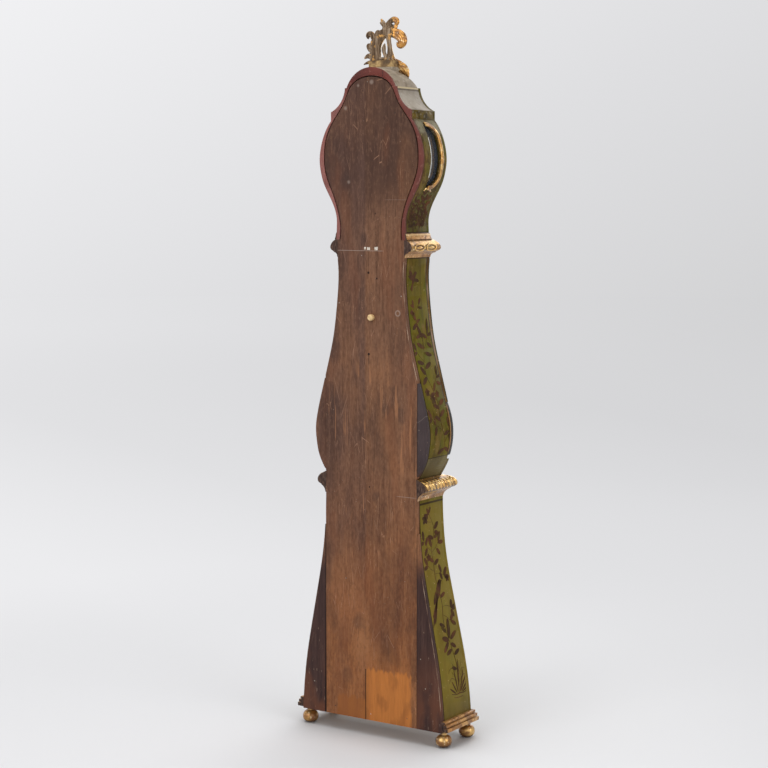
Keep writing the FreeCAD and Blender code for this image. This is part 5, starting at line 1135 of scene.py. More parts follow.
def trunk_plant(paint, gold):
    """Stems, leaves, blossoms and a bird, from the belly to the waist."""
    for wide, *points in (
            (3.2, (108, 992), (114, 1030), (98, 1075), (88, 1120), (98, 1168), (84, 1215), (58, 1262),
             (66, 1310)),
            (2.4, (66, 1305), (86, 1345), (84, 1395), (60, 1440), (52, 1492)),
            (2.2, (98, 1075), (62, 1090), (40, 1118)),
            (2.0, (112, 1036), (132, 1052), (136, 1088)),
            (2.0, (84, 1215), (112, 1235), (124, 1262)),
            (2.0, (66, 1310), (40, 1330), (32, 1352)),
            (2.2, (84, 1350), (110, 1372), (118, 1400)),
            (1.6, (56, 1470), (78, 1486), (84, 1502))):
        paint.line(points, wide)
    leaves = (
        (40, 1118, 120, 30, 13), (38, 1116, 200, 24, 11), (62, 1092, 250, 26, 12), (52, 1096, 70, 20, 9),
        (104, 1060, 15, 26, 12), (92, 1108, 150, 26, 11), (92, 1122, 30, 30, 12), (134, 1060, 290, 22, 10),
        (136, 1084, 95, 26, 10), (110, 1012, 205, 30, 12), (112, 1014, -25, 26, 11),
        (98, 1150, 160, 28, 12), (98, 1160, 25, 30, 13), (90, 1200, 195, 26, 12), (88, 1208, 60, 24, 10),
        (114, 1236, -20, 22, 10), (124, 1258, 80, 26, 10), (120, 1250, 20, 18, 8), (64, 1256, 215, 30, 13),
        (60, 1264, 130, 28, 12), (66, 1284, 25, 34, 13), (64, 1300, 165, 30, 12), (34, 1346, 110, 22, 10),
        (36, 1340, 200, 22, 10), (82, 1336, -15, 32, 12), (84, 1352, 155, 32, 13), (106, 1368, -30, 24, 11),
        (117, 1394, 82, 44, 10), (112, 1384, 150, 26, 10), (118, 1392, 20, 22, 9), (86, 1384, 120, 40, 12),
        (82, 1398, 195, 28, 11), (62, 1436, 215, 26, 12), (58, 1446, 120, 34, 11), (60, 1440, 20, 20, 9),
        (54, 1468, 165, 22, 10), (84, 1500, 60, 18, 9), (80, 1490, -10, 18, 8), (52, 1488, 100, 22, 9),
        (52, 1490, 150, 16, 7))
    for d, z, *leaf in leaves:
        veined(paint, gold, (d, z), *leaf, TRUNK_VEIN_SHARES, 0.9)
    for d, z, reach in ((72, 1180, 13), (46, 1206, 11), (104, 1196, 10)):
        blossom(paint, gold, d, z, reach)
    bird(paint, gold, 62, 1585, 0.9, flying=True)


def blossom(paint, gold, d, z, reach):
    """A round flower of five petals with a gold eye."""
    for petal in range(5):
        veined(paint, gold, (d, z), 90 + petal * 72, reach, reach * 0.72, PETAL_VEIN_SHARES, 0.8)
    gold.leaf((d - reach * 0.14, z), 0, reach * 0.3, reach * 0.3)


def bird(paint, gold, d, z, size, flying=False):
    """A small bird, on a twig with a long tail, or flying with spread wings, made up of leaves."""
    def at(x, y):
        return d + x * size, z + y * size
    if flying:
        leaves = ((-8, -20, 66, 42, 14), (6, 14, 40, 14, 11), (14, 20, 20, 9, 3), (-2, 0, 128, 34, 14),
                  (-6, -4, 146, 26, 9), (4, -2, 350, 26, 11), (-6, -16, 236, 22, 6), (-6, -16, 254, 24, 6))
        feathers = (((-4, 2), (-20, 24)), ((6, -2), (26, -6)), ((-7, -18), (4, 12)))
    else:
        leaves = ((-10, -14, 62, 48, 18), (8, 22, 50, 18, 13), (17, 33, 15, 10, 3.5),
                  (-6, -8, 240, 74, 8), (-9, -8, 248, 62, 7), (-3, -8, 231, 54, 6), (-4, 12, 236, 36, 12))
        paint.line([at(4, -2), at(8, -16), at(14, -20)], 1.4 * size)
        feathers = (((-6, 8), (-20, -16)), ((-2, 12), (-14, -10)), ((-10, -14), (-40, -66)),
                    ((6, 20), (0, 2)))
    for x, y, turn, length, width in leaves:
        paint.leaf(at(x, y), turn, length * size, width * size)
    for start, end in feathers:
        middle = ((start[0] + end[0]) / 2 + 1, (start[1] + end[1]) / 2 + 1)
        gold.line([at(*start), at(*middle), at(*end)], 0.9)


def base_plant(paint, gold):
    """A rising stem from a tuft of grass, with leaves, blossoms and a perched bird."""
    for wide, *points in (
            (3.6, (126, 168), (122, 215), (130, 262), (118, 305), (104, 352)),
            (3.0, (104, 350), (90, 395), (86, 430), (98, 470), (92, 520), (78, 575), (84, 620), (76, 665)),
            (2.2, (76, 662), (96, 700), (104, 735), (88, 768), (72, 790)),
            (2.2, (98, 468), (130, 470), (156, 452)),
            (2.0, (92, 440), (120, 428), (134, 410)),
            (2.2, (80, 580), (112, 584), (136, 566)),
            (2.0, (80, 590), (56, 600), (44, 618)),
            (2.2, (76, 660), (50, 676), (34, 704)),
            (2.2, (78, 655), (108, 664), (124, 688)),
            (1.8, (92, 758), (66, 756), (50, 772))):
        paint.line(points, wide)
    leaves = (
        (102, 352, 160, 32, 15), (98, 348, 222, 36, 13), (106, 356, 84, 54, 16), (112, 354, 28, 36, 13),
        (110, 340, -30, 26, 12), (94, 380, 140, 26, 10), (112, 320, 200, 30, 12), (122, 300, 20, 28, 12),
        (124, 250, 160, 24, 10), (88, 400, 150, 24, 11), (134, 412, -30, 24, 12), (132, 414, 50, 22, 11),
        (150, 450, 20, 24, 15), (148, 453, 80, 24, 13), (144, 450, -60, 24, 12), (92, 500, 20, 26, 11),
        (136, 566, -15, 24, 13), (134, 568, 50, 26, 13), (122, 580, 110, 24, 11), (112, 582, -70, 22, 10),
        (44, 616, 120, 24, 12), (46, 612, 195, 22, 11), (84, 612, 25, 26, 12), (84, 622, 150, 24, 11),
        (34, 700, 95, 26, 12), (36, 694, 190, 20, 12), (44, 682, 60, 26, 11), (54, 674, 235, 24, 11),
        (124, 686, 70, 28, 12), (122, 682, 0, 24, 12), (110, 664, -50, 24, 11), (80, 672, 110, 34, 13),
        (96, 700, 160, 28, 12), (98, 702, 20, 26, 11), (104, 732, 40, 26, 14), (104, 722, -20, 22, 13),
        (72, 788, 60, 20, 9), (72, 788, 120, 18, 8), (74, 786, 180, 16, 7))
    for d, z, *leaf in leaves:
        veined(paint, gold, (d, z), *leaf, BASE_VEIN_SHARES, 1.0)
    for d, z, reach in ((50, 772, 15), (56, 640, 11), (152, 556, 10)):
        blossom(paint, gold, d, z, reach)
    bird(paint, gold, 82, 512, 1.15)
    for d, z, turn, length in (
            (118, 170, 100, 62), (124, 172, 84, 84), (130, 170, 66, 60), (134, 172, 50, 48),
            (112, 170, 122, 40), (106, 168, 146, 34), (140, 170, 34, 44), (146, 168, 18, 40)):
        paint.leaf((d, z), turn, length, 5)
    for d, z, swing in ((134, 205, 1), (132, 228, 1), (136, 186, 1), (118, 238, -1), (116, 205, -1)):
        paint.line([(d, z), (d + swing * 20, z + 22), (d + swing * 40, z + 18), (d + swing * 48, z + 6)], 2.2)
        paint.line([(d, z + 6), (d + swing * 14, z + 30), (d + swing * 26, z + 40)], 1.6)
    paint.line([(78, 172), (104, 164), (130, 168), (162, 162), (182, 170)], 4.5)
    paint.line([(90, 158), (120, 152), (150, 154)], 3.0)


def hood_bush(paint, gold):
    """A low bush of small leaves under the hood's window."""
    chance = random.Random(11)
    for foot, tip in (((44, 1756), (34, 1850)), ((66, 1754), (70, 1876)), ((88, 1756), (104, 1856)),
                      ((30, 1756), (22, 1812)), ((104, 1758), (124, 1812))):
        middle = ((foot[0] + tip[0]) / 2 + chance.uniform(-6, 6), (foot[1] + tip[1]) / 2)
        paint.line([foot, middle, tip], 2.4)
        for step in range(7):
            share = (step + 0.6) / 7
            d = foot[0] + (tip[0] - foot[0]) * share
            z = foot[1] + (tip[1] - foot[1]) * share
            for turn in (chance.uniform(10, 60), chance.uniform(120, 170)):
                length = chance.uniform(13, 22)
                veined(paint, gold, (d, z), turn, length, length * 0.45, BUSH_VEIN_SHARES, 0.8)


# A painted plant has its board, the board in front of it, its drawing, the body it moves with, and
# the depths in mm between which the paint is kept.
PLANTS = (("trunk_side", "trunk_front_frame", trunk_plant, "case", (22, 138)),
          ("base_side", "base_front", base_plant, "case", (22, 170)),
          ("hood_side", "hood_front", hood_bush, "hood", (18, 132)))
# A front bunch has its board, its body, its middle in mm and its size. Each half has one stem, and
# leaves with their foot, turn and length; the blossoms have their place and reach.
BUNCHES = (("trunk_door", "trunk_door", (0, 1370), 1.0), ("base_front", "case", (0, 480), 1.5))
BUNCH_STEM = ((0, -150), (14, -90), (-6, -30), (22, 40), (6, 110), (12, 170))
BUNCH_LEAVES = (
    (12, -95, 20, 34), (10, -80, 70, 30), (-2, -30, 15, 40), (4, -10, 60, 34), (18, 20, -10, 38),
    (22, 44, 35, 44), (16, 70, 75, 36), (8, 104, 25, 34), (8, 120, 70, 30), (10, 160, 40, 26),
    (12, 168, 80, 28), (30, -60, 10, 26), (44, 34, 60, 30), (46, 30, -5, 28), (34, 96, 15, 24),
    (6, -140, 30, 30))
BUNCH_BLOSSOMS = ((0, 0, 20), (0, 190, 15), (44, -120, 11), (-44, -120, 11), (52, 66, 12), (-52, 66, 12))


class CLOCK_OT_painting(bpy.types.Operator):
    """Paint the plants and birds on the lacquer, with their gold veins"""
    bl_idname = "clock.painting"
    bl_label = "Painted plants"

    def execute(self, context):
        for node, front, draw, body, ends in PLANTS:
            paint = Drawing(node + "_painting_right", 1.3)
            gold = Drawing(node + "_gilt_lines_right")
            draw(paint, gold)
            wall = Wall((-1, 0, 0), node + "_right", front)
            for drawing, finish, lift in ((paint, "painting", 0.35), (gold, "gilt_line", 0.5)):
                piece = drawing.laid(wall, lift, 0.4, ends)
                other = twin(piece, size=(-1, 1, 1))
                other.name = drawing.name.replace("right", "left")
                done(piece, body, "green_lacquer", finish, angle=0)
                done(other, body, "green_lacquer", finish, angle=0)
        self.front()
        return {"FINISHED"}

    def front(self):
        """Bunches of leaves and blossoms on the door and on the front of the base."""
        for node, body, heart, reach in BUNCHES:
            paint = Drawing(node + "_painting", 1.2)
            gold = Drawing(node + "_gilt_lines")
            for way in (1, -1):
                stem = [(heart[0] + way * x * reach, heart[1] + z * reach) for x, z in BUNCH_STEM]
                paint.line(stem, 3)
                for x, z, turn, length in BUNCH_LEAVES:
                    turned = turn if way > 0 else 180 - turn
                    foot = (heart[0] + way * x * reach, heart[1] + z * reach)
                    size = length * reach
                    veined(paint, gold, foot, turned, size, size * 0.4, FRONT_VEIN_SHARES, 1.0)
            for x, z, size in BUNCH_BLOSSOMS:
                blossom(paint, gold, heart[0] + x * reach, heart[1] + z * reach, size * reach)
            wall = Wall((0, -1, 0), node)
            done(paint.laid(wall, 0.35, 0.4), body, "green_lacquer", "painting", angle=0)
            done(gold.laid(wall, 0.5, 0.4), body, "green_lacquer", "gilt_line", angle=0)


class CLOCK_OT_hood(bpy.types.Operator):
    """Finish the hood's boards, roof and rim"""
    bl_idname = "clock.hood"
    bl_label = "Hood"

    def execute(self, context):
        softened("hood_rear_rim", "hood_rim_red", "rim_wear", width=1.0,
                 worn=lambda place: place.y > REAR - 0.002)
        softened("hood_roof", "grey_roof", width=0.8)
        for node in ("hood_side_left", "hood_side_right"):
            # The faces inside the hood take a dark finish of painted shade.
            softened(node, "hood_lacquer", "inside_dark", width=0.7, choose=inner_side)
        softened("hood_front", "hood_lacquer", "inside_dark", width=0.7, choose=rear_side)
        softened("crest_plinth", "grey_roof", width=0.8)
        return {"FINISHED"}


def ribbed(points, ribs, spread=0.62):
    """Splits a carved stroke into parallel ribs; a point is x, depth, z and radius in mm."""
    runs = []
    for rib in range(ribs):
        side = 0 if ribs == 1 else (rib / (ribs - 1) * 2 - 1) * spread
        run = []
        for index, (x, depth, z, radius) in enumerate(points):
            before = points[max(index - 1, 0)]
            after = points[min(index + 1, len(points) - 1)]
            along = Vector((after[0] - before[0], 0, after[2] - before[2])).normalized()
            across = Vector((-along.z, 0, along.x)) * side * radius / 1000
            thin = radius / 1000 * (1 if ribs == 1 else 0.72)
            run.append((spot(x, depth, z) + across, thin))
        runs.append(run)
    return runs


class CLOCK_OT_crest(bpy.types.Operator):
    """Carve the pierced crest with its scrolls and leaves"""
    bl_idname = "clock.crest"
    bl_label = "Crest"

    def execute(self, context):
        carved = (
            (3, (30, 79, 2319, 15), (30, 80, 2345, 14), (29, 79, 2372, 14), (19, 79, 2396, 15),
             (0, 80, 2412, 13), (-22, 81, 2416, 12), (-44, 83, 2411, 13)),
            (3, (-30, 82, 2414, 11), (-52, 84, 2409, 14), (-70, 86, 2396, 15), (-75, 86, 2379, 13),
             (-66, 85, 2368, 10), (-55, 85, 2371, 7), (-56, 85, 2380, 5)),
            (2, (-30, 79, 2319, 14), (-27, 80, 2345, 8), (-24, 80, 2372, 6), (-20, 80, 2392, 7),
             (-18, 80, 2408, 8)),
            (1, (-14, 79, 2322, 9), (-8, 79, 2338, 6), (-1, 79, 2352, 7), (-3, 78, 2366, 8),
             (-6, 78, 2378, 2)),
            (2, (36, 79, 2392, 8), (41, 78, 2404, 8), (50, 77, 2413, 8), (60, 76, 2412, 7),
             (64, 76, 2402, 5), (57, 76, 2397, 3)),
            (2, (36, 80, 2352, 7), (46, 79, 2356, 9), (57, 77, 2367, 8), (62, 76, 2377, 5),
             (54, 76, 2379, 2)),
            (1, (36, 80, 2366, 6), (45, 79, 2375, 6), (49, 78, 2385, 5), (44, 78, 2390, 3)),
            (2, (34, 80, 2326, 8), (52, 79, 2338, 8), (66, 77, 2339, 6), (76, 76, 2330, 2)),
            (1, (42, 80, 2324, 7), (57, 79, 2317, 6), (70, 78, 2315, 5), (80, 77, 2310, 1.5)),
            (1, (31, 79, 2398, 6), (30, 78, 2414, 5), (21, 77, 2422, 5), (13, 77, 2417, 3)),
            (2, (-8, 80, 2412, 10), (-6, 80, 2428, 8), (-4, 79, 2440, 6), (3, 78, 2452, 5), (9, 77, 2460, 2)),
            (1, (-3, 79, 2436, 5), (4, 77, 2441, 6), (11, 76, 2449, 3)),
            (2, (-6, 80, 2425, 6), (-15, 81, 2440, 7), (-27, 83, 2452, 7), (-40, 85, 2458, 8),
             (-51, 86, 2452, 8), (-51, 86, 2442, 7), (-42, 85, 2440, 5)),
            (2, (0, 80, 2425, 6), (-16, 82, 2433, 7), (-32, 84, 2433, 7), (-46, 85, 2429, 5),
             (-54, 85, 2434, 2)),
        )
        foot = rods("crest_foot", [[(spot(40, 79, 2325), 0.006), (spot(0, 79, 2327), 0.0075),
                                    (spot(-42, 79, 2325), 0.006)]])
        carving = rods("crest_scrolls", [run for ribs, *points in carved for run in ribbed(points, ribs)])
        drooping = (
            (3, (-14, 98, 2324, 8), (-28, 108, 2314, 12), (-44, 114, 2300, 15), (-58, 117, 2286, 14),
             (-70, 118, 2271, 9), (-74, 118, 2262, 3)),
            (2, (-20, 106, 2310, 8), (-26, 113, 2296, 9), (-33, 116, 2284, 7), (-36, 117, 2275, 2)),
            (2, (-40, 112, 2312, 6), (-54, 115, 2306, 8), (-68, 117, 2293, 7), (-78, 118, 2284, 2)),
        )
        leaf = rods("crest_leaf", [run for ribs, *points in drooping for run in ribbed(points, ribs)])
        piece = joined([carving, foot, leaf], "crest_carved")
        modify(piece, "REMESH", mode="VOXEL", voxel_size=0.0013, adaptivity=0)
        modify(piece, "SMOOTH", factor=0.5, iterations=3)

        behind_this, gilt_beyond = REAR - 0.092, -0.042

        def side_of(face):
            bare = face.normal.y > 0.2 and face.center.y > behind_this and face.center.x > gilt_beyond
            return 1 if bare else 0

        done(piece, "hood", "gilt_wood", "crest_gilding", "carving_back", angle=60, choose=side_of)
        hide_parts("crest_carving")
        return {"FINISHED"}


def bare_end(face):
    """The sawn rear end of a moulding is left dark; the rest is gilt."""
    return 1 if face.normal.y > 0.9 and face.center.y > REAR - 0.03 else 0


class CLOCK_OT_mouldings(bpy.types.Operator):
    """Gild the mouldings and carve their gadroons and ovals"""
    bl_idname = "clock.mouldings"
    bl_label = "Mouldings"

    def execute(self, context):
        for node in ("waist_moulding", "lower_moulding"):
            softened(node, "gilt_wood", "end_grain", width=0.8, choose=bare_end)
        for node in ("base_moulding", "hood_base_moulding"):
            softened(node, "dull_gilding", "end_grain", width=1.2, choose=bare_end)
        softened("hood_window_mouldings", "gilt_wood", width=4.4, segments=5, angle=50)
        for node in ("hood_door_ring", "lenticle_ring"):
            softened(node, "gilt_wood", width=1.4)
        self.gadroons()
        self.ovals()
        self.window_ends()
        return {"FINISHED"}

    def window_ends(self):
        """The curled lower ends of the window beads and the putty along the panes."""
        side = Wall((-1, 0, 0), "hood_side_right")
        curled = ((92, 1881, 0.003), (84, 1884, 0.0045), (74, 1889, 0.005), (63, 1892, 0.0045),
                  (54, 1889, 0.0035), (49, 1882, 0.002))
        run = [(side.at(along, z, 1.0), radius) for along, z, radius in curled]
        curl = rods("window_curls", [run])
        piece = joined([curl, twin(curl, size=(-1, 1, 1))], "window_curls")
        done(piece, "hood", "gilt_wood", "gilt_carving", angle=60)
        edge = [(51, z) for z in range(1926, 2062, 12)]
        run = [(side.at(along, z, 0.0), 0.0013) for along, z in edge]
        strip = rods("window_putty", [run], round_sides=1, steps=2)
        piece = joined([strip, twin(strip, size=(-1, 1, 1))], "window_putty")
        done(piece, "hood", "window_glass", "putty", angle=60)

    def gadroons(self):
        """Slanting lobes round the big round of the lower moulding."""
        side = Wall((-1, 0, 0), "lower_moulding")
        front = Wall((0, -1, 0), "lower_moulding")
        # One lobe is made at a depth of the side and one at the middle of the front, and both are copied
        # along the moulding: the first copy's place and the step to the next, in mm.
        felt_at = 95
        side_first, side_step = 14, 19.5
        front_first, front_step = 12, 19.2
        heights = (911, 905, 897, 887, 877, 871)
        radii = (0.002, 0.006, 0.0092, 0.0096, 0.007, 0.0025)
        leans = (-10, -7, -2, 5, 10, 12)
        lobe = rods("gadroon", [[(side.at(felt_at + lean, z, -4.0), radius)
                                 for lean, z, radius in zip(leans, heights, radii)]])
        pieces = []
        for index in range(10):
            pieces.append(twin(lobe, move=(0, (felt_at - (side_first + index * side_step)) / 1000, 0)))
        pieces += [twin(piece, size=(-1, 1, 1)) for piece in pieces]
        bpy.data.objects.remove(lobe)
        lobe = rods("gadroon", [[(front.at(lean, z, -4.0), radius)
                                 for lean, z, radius in zip(leans, heights, radii)]])
        for index in range(11):
            across = (front_first + index * front_step) / 1000
            pieces.append(twin(lobe, move=(-across, 0, 0)))
            pieces.append(twin(lobe, move=(across, 0, 0), size=(-1, 1, 1)))
        bpy.data.objects.remove(lobe)
        piece = joined(pieces, "lower_moulding_gadroons")
        done(piece, "case", "gilt_wood", "gilt_carving", angle=60)

    def ovals(self):
        """Long ovals carved on the round of the waist moulding."""
        pieces = []
        height, half_tall = 1692, 10.5
        for facing, places, stretch in (((-1, 0, 0), (50, 122), 30), ((1, 0, 0), (50, 122), 30),
                                        ((0, -1, 0), (-99, -33, 33, 99), 26)):
            wall = Wall(facing, "waist_moulding")
            for place in places:
                ring = []
                heart = []
                for step in range(16):
                    turn = math.tau * step / 16
                    long_way = math.copysign(abs(math.cos(turn)) ** 0.8, math.cos(turn))
                    z = height + half_tall * math.sin(turn)
                    ring.append((wall.at(place + stretch * long_way, z, 0.4), 0.0032))
                for step in range(7):
                    share = step / 3 - 1
                    radius = 0.0042 * (1 - share ** 2) + 0.0008
                    heart.append((wall.at(place + stretch * 0.68 * share, height, -0.6), radius))
                pieces.append(rods("oval", [ring], closed=True, steps=3))
                pieces.append(rods("oval_heart", [heart]))
        piece = joined(pieces, "waist_moulding_ovals")
        done(piece, "case", "gilt_wood", "gilt_carving", angle=60)


class CLOCK_OT_feet(bpy.types.Operator):
    """Gild the ball feet"""
    bl_idname = "clock.feet"
    bl_label = "Feet"

    def execute(self, context):
        softened("ball_feet", "foot_gilding", width=0.8)
        return {"FINISHED"}


# The dial in mm: its middle, how high the seconds' circle stands, and how far out the hours stand
DIAL_MIDDLE = DIAL_Z * 1000
SECONDS_Z = 2029
HOURS_REACH = 108


class CLOCK_OT_dial(bpy.types.Operator):
    """Paint the hours, the minutes and the seconds on the dial"""
    bl_idname = "clock.dial"
    bl_label = "Dial"

    def execute(self, context):
        softened("dial_plate", "dial_white", width=0.5)
        ink = Drawing("dial_numbers")
        self.hours(ink)
        self.tracks(ink)
        piece = ink.laid(Wall((0, -1, 0), "dial_plate"), 0.15, 0.2)
        done(piece, "case", "hand_steel", "dial_ink", angle=0)
        pieces = []
        for x in (-34, 34):
            clear()
            front = spot(x, 113.9, 1959)
            bpy.ops.mesh.primitive_torus_add(major_radius=0.0062, minor_radius=0.0013, major_segments=32,
                                             minor_segments=8, location=front, rotation=(math.pi / 2, 0, 0))
            pieces.append(context.object)
        done(joined(pieces, "winding_collets"), "case", "fitting_brass", "fitting_brass")
        return {"FINISHED"}

    def hours(self, ink):
        """Roman hours, each turned to stand on the middle of the dial."""
        strokes = {"I": (((0, -11), (0, 11), 4.2),),
                   "V": (((-6, 11), (0, -11), 4.2), ((6, 11), (0, -11), 1.3)),
                   "X": (((-6, 11), (6, -11), 4.2), ((6, 11), (-6, -11), 1.3))}
        advance = {"I": 7, "V": 14, "X": 14}
        hours = ("XII", "I", "II", "III", "IIII", "V", "VI", "VII", "VIII", "IX", "X", "XI")
        for hour, letters in enumerate(hours):
            turn = -math.tau * hour / 12
            total = sum(advance[letter] for letter in letters)
            start = -total / 2

            def place(x, y):
                y += HOURS_REACH
                return (x * math.cos(turn) - y * math.sin(turn),
                        DIAL_MIDDLE + x * math.sin(turn) + y * math.cos(turn))

            for letter in letters:
                across = start + advance[letter] / 2
                for low, high, wide in strokes[letter]:
                    ink.bar(place(across + low[0], low[1]), place(across + high[0], high[1]), wide)
                start += advance[letter]
            for level in (-11, 11):
                ink.bar(place(-total / 2, level), place(total / 2, level), 1.1)

    def tracks(self, ink):
        """The minutes and the seconds, with the rings that hold them."""
        for minute in range(60):
            turn = math.tau * minute / 60
            inner, outer, wide = (126, 133, 2.2) if minute % 5 == 0 else (127, 132, 0.8)
            ink.bar(around(DIAL_MIDDLE, inner, turn), around(DIAL_MIDDLE, outer, turn), wide)
            small, wide = (18, 1.2) if minute % 5 == 0 else (19.5, 0.7)
            ink.bar(around(SECONDS_Z, small, turn), around(SECONDS_Z, 22, turn), wide)
        for centre, reach, wide in ((DIAL_MIDDLE, 126.5, 0.7), (DIAL_MIDDLE, 133.5, 0.7),
                                    (DIAL_MIDDLE, 92, 0.6), (SECONDS_Z, 22.4, 0.6), (SECONDS_Z, 17, 0.5)):
            ink.ring(centre, reach, wide)


class CLOCK_OT_fittings(bpy.types.Operator):
    """Finish the hinges, locks, glass and the whole movement"""
    bl_idname = "clock.fittings"
    bl_label = "Fittings and movement"

    def execute(self, context):
        for node in ("trunk_hinge_pins", "hood_hinge_pins", "suspension_cock"):
            coat(node, "hinge_iron")
        for node in ("trunk_door_fittings", "hood_door_fittings", "pendulum_bob"):
            coat(node, "fitting_brass")
        for node in ("front_plate", "back_plate", "plate_pillars", "centre_wheel", "hour_wheel",
                     "minute_wheel", "third_wheel", "escape_wheel", "going_great_wheel", "going_drum",
                     "strike_drum"):
            coat(node, "movement_brass")
        coat("bell", "bell_metal")
        for node in ("minute_hand", "hour_hand", "seconds_hand", "pallet_anchor", "strike_hammer",
                     "pendulum_rod"):
            coat(node, "hand_steel")
        coat("hood_side_glass", "side_glass")
        for node in ("hood_door_glass", "lenticle_glass"):
            coat(node, "window_glass")
        for node in ("going_weight", "strike_weight"):
            coat(node, "weight_iron")
        for joint in frame["record"]["behaviour"]["joints"]:
            if joint["name"].endswith("_weight_lift"):
                self.line(joint)
        return {"FINISHED"}

    def line(self, joint):
        """A weight's line, made again with the gut finish; how much shorter it could grow as its weight is
        wound up is reckoned but not used.
        """
        node = joint["name"].replace("_weight_lift", "_line")
        low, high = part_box(node)
        piece = copied(node, node + "_finished")
        done(piece, BODY_OF[node], SLOT_OF[node], "line_cord", angle=60)
        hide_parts(node)
        shortest = 1 - joint["range_m"][1] / (high.z - low.z)
        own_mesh(piece)


def seen_directly(paint):
    """1 for what is seen by the camera, in a mirror or through glass, 0 for lighting."""
    rays = paint.add("ShaderNodeLightPath", output="Is Camera Ray")
    outputs = rays.socket.node.outputs
    return rays.most(Wire(paint, outputs["Is Glossy Ray"])).most(Wire(paint, outputs["Is Transmission Ray"]))


# The picture's right on the floor, how much the background darkens that way as painted fall-off of the light,
# the camera's distance from the clock in metres, and the background's tones from dark to light
PICTURE_RIGHT = (-0.825, -0.556)
DARKER_RIGHT = 1.15
CAMERA_AWAY = 5.5
BACKGROUND = ((0.0, 205, 205, 206), (0.5, 223, 223, 225), (1.0, 243, 243, 245))
# The camera's place in metres, the way it looks, and its lens in mm
CAMERA_PLACE = (-3.544, 5.273, 1.846)
CAMERA_AHEAD = (0.5561, -0.8254, -0.0981)
CAMERA_LENS = 86.75
# Every lamp points at one place. A lamp has its name, its place, its size and its power.
LIT = (0, 0, 1.2)
LAMPS = (("over", (0.6, 0.6, 5.2), 4.5, 130), ("camera_left", (0.9, 5.4, 3.0), 3.2, 90),
         ("camera_right", (-5.2, 0.8, 2.8), 3.2, 95), ("front", (0.4, -5.2, 3.0), 3.6, 90))


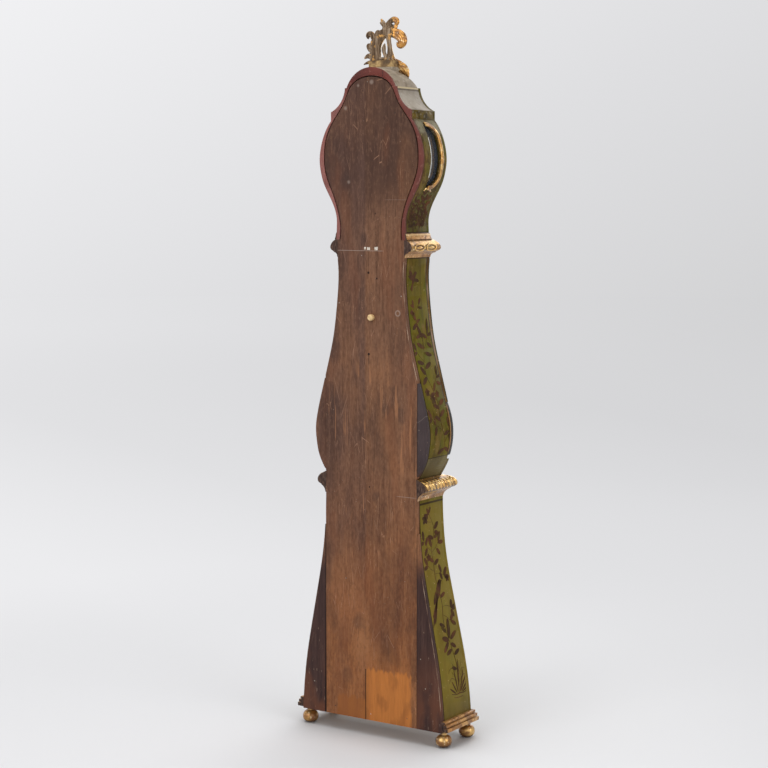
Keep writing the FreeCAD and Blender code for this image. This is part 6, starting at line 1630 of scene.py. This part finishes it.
class CLOCK_OT_stage(bpy.types.Operator):
    """Set up the floor, the light and the camera"""
    bl_idname = "clock.stage"
    bl_label = "Studio"

    def execute(self, context):
        self.lay_floor()
        self.colour_world(context.scene)
        self.hang_lamps(context.scene.collection)
        self.place_camera(context.scene)
        context.scene.view_settings.view_transform = "Standard"
        return {"FINISHED"}

    def lay_floor(self):
        """A round floor that goes over into the background, with a painted soft shade under the clock, a tone
        painted darker toward the picture's right as shade, and seen tones that fade with distance as painted
        fall-off of light.
        """
        clear()
        bpy.ops.mesh.primitive_circle_add(vertices=96, radius=30, fill_type="NGON", location=(0, 0, 0))
        floor = bpy.context.object
        floor.name = "studio_floor"
        paint = Paint("studio_floor", Roughness=0.6)
        x, y, _ = paint.axes()
        across = x * PICTURE_RIGHT[0] + y * PICTURE_RIGHT[1]
        pale = settings().floor[:] + (1,)
        # Painted shade under the clock, found by ambient occlusion.
        hollow = paint.add("ShaderNodeAmbientOcclusion", {"samples": 8}, {"Distance": 0.22}, "AO")
        # The floor's tone darkens toward the picture's right: painted shade.
        tone = paint.over(across.ramp(0.1, 2.2), pale, (204, 204, 206))
        paint.set(Base_Color=paint.over((1 - hollow.ramp(0.4, 1.0)) * 0.4, tone, (120, 118, 118)))
        away = paint.add("ShaderNodeVectorMath", {"operation": "LENGTH"}, {0: paint.place}, "Value")
        # Where the floor is seen directly, its tones fade with distance and toward the right: painted
        # fall-off of the light.
        near = paint.tints((away + across * 2) / 20, (0.0, 237, 237, 239), (0.2, 226, 226, 228),
                           (0.7, 216, 216, 218))
        far = paint.tints(0.455 - across / (away + CAMERA_AWAY) * DARKER_RIGHT, *BACKGROUND)
        distance = paint.over(away.ramp(4.0, 22.0), near, far)
        veil = paint.add("ShaderNodeEmission", {}, {"Color": distance, "Strength": 1.0})
        mixed = paint.add("ShaderNodeMixShader", {}, {0: seen_directly(paint) * away.ramp(0.5, 3.2) * 0.96,
                                                     1: Wire(paint, paint.shader.outputs[0]), 2: veil})
        paint.tree.links.new(mixed.socket, paint.tree.nodes["Material Output"].inputs["Surface"])
        floor.data.materials.append(paint.material)

    def colour_world(self, scene):
        """Even light from all round, and a background where the world is seen directly, graded lighter upward
        and darker toward the picture's right as painted fall-off of the light.
        """
        world = bpy.data.worlds.new("studio")
        scene.world = world
        world.use_nodes = True
        sky = Paint("studio", world.node_tree, "Generated")
        back = sky.tree.nodes["Background"]
        back.inputs["Color"].default_value = (1, 1, 1, 1)
        back.inputs["Strength"].default_value = 0.42
        x, y, height = sky.axes()
        across = x * PICTURE_RIGHT[0] + y * PICTURE_RIGHT[1]
        # The background seen directly grows lighter upward and darker toward the picture's right: painted
        # fall-off of the light.
        tone = sky.tints(height * 2.0 - across * DARKER_RIGHT + 0.5, *BACKGROUND)
        tone = sky.over(height.ramp(0.4, 0.75), tone, (120, 118, 116))
        seen = sky.add("ShaderNodeBackground", {}, {"Color": tone, "Strength": 1.0})
        mix = sky.add("ShaderNodeMixShader", {},
                      {0: seen_directly(sky), 1: Wire(sky, back.outputs[0]), 2: seen})
        sky.tree.links.new(mix.socket, sky.tree.nodes["World Output"].inputs[0])

    def hang_lamps(self, collection):
        """Four large soft lamps."""
        for name, place, size, power in LAMPS:
            lamp = bpy.data.lights.new(name, "AREA")
            lamp.shape = "SQUARE"
            lamp.size = size
            lamp.energy = power
            holder = bpy.data.objects.new(name, lamp)
            collection.objects.link(holder)
            holder.location = place
            holder.rotation_euler = (Vector(LIT) - Vector(place)).to_track_quat("-Z", "Y").to_euler()

    def place_camera(self, scene):
        """The camera behind the clock, to one side of it."""
        camera = bpy.data.cameras.new("camera")
        camera.lens = CAMERA_LENS
        camera.sensor_width = 36
        camera.clip_end = 100
        holder = bpy.data.objects.new("camera", camera)
        scene.collection.objects.link(holder)
        holder.location = CAMERA_PLACE
        holder.rotation_euler = Vector(CAMERA_AHEAD).normalized().to_track_quat("-Z", "Y").to_euler()
        scene.camera = holder


class CLOCK_PT_panel(bpy.types.Panel):
    """The clock's pieces, in the order in which they are made"""
    bl_idname = "CLOCK_PT_panel"
    bl_label = "Tall Case Clock"
    bl_space_type = "VIEW_3D"
    bl_region_type = "UI"
    bl_category = "Clock"

    def draw(self, context):
        looks = context.scene.clock_looks
        for name in looks.__annotations__:
            self.layout.prop(looks, name)
        for maker in OPERATORS:
            self.layout.operator(maker.bl_idname)


OPERATORS = (CLOCK_OT_boards, CLOCK_OT_peg, CLOCK_OT_paper, CLOCK_OT_hood, CLOCK_OT_painting,
             CLOCK_OT_crest, CLOCK_OT_mouldings, CLOCK_OT_feet, CLOCK_OT_dial, CLOCK_OT_fittings,
             CLOCK_OT_stage)
CLASSES = (ClockLooks, *OPERATORS, CLOCK_PT_panel)


def register():
    for part in CLASSES:
        bpy.utils.register_class(part)
    bpy.types.Scene.clock_looks = bpy.props.PointerProperty(type=ClockLooks)


def unregister():
    del bpy.types.Scene.clock_looks
    for part in reversed(CLASSES):
        bpy.utils.unregister_class(part)


def main():
    register()
    for maker in OPERATORS:
        area, name = maker.bl_idname.split(".")
        getattr(getattr(bpy.ops, area), name)()


if __name__ == "__main__":
    main()
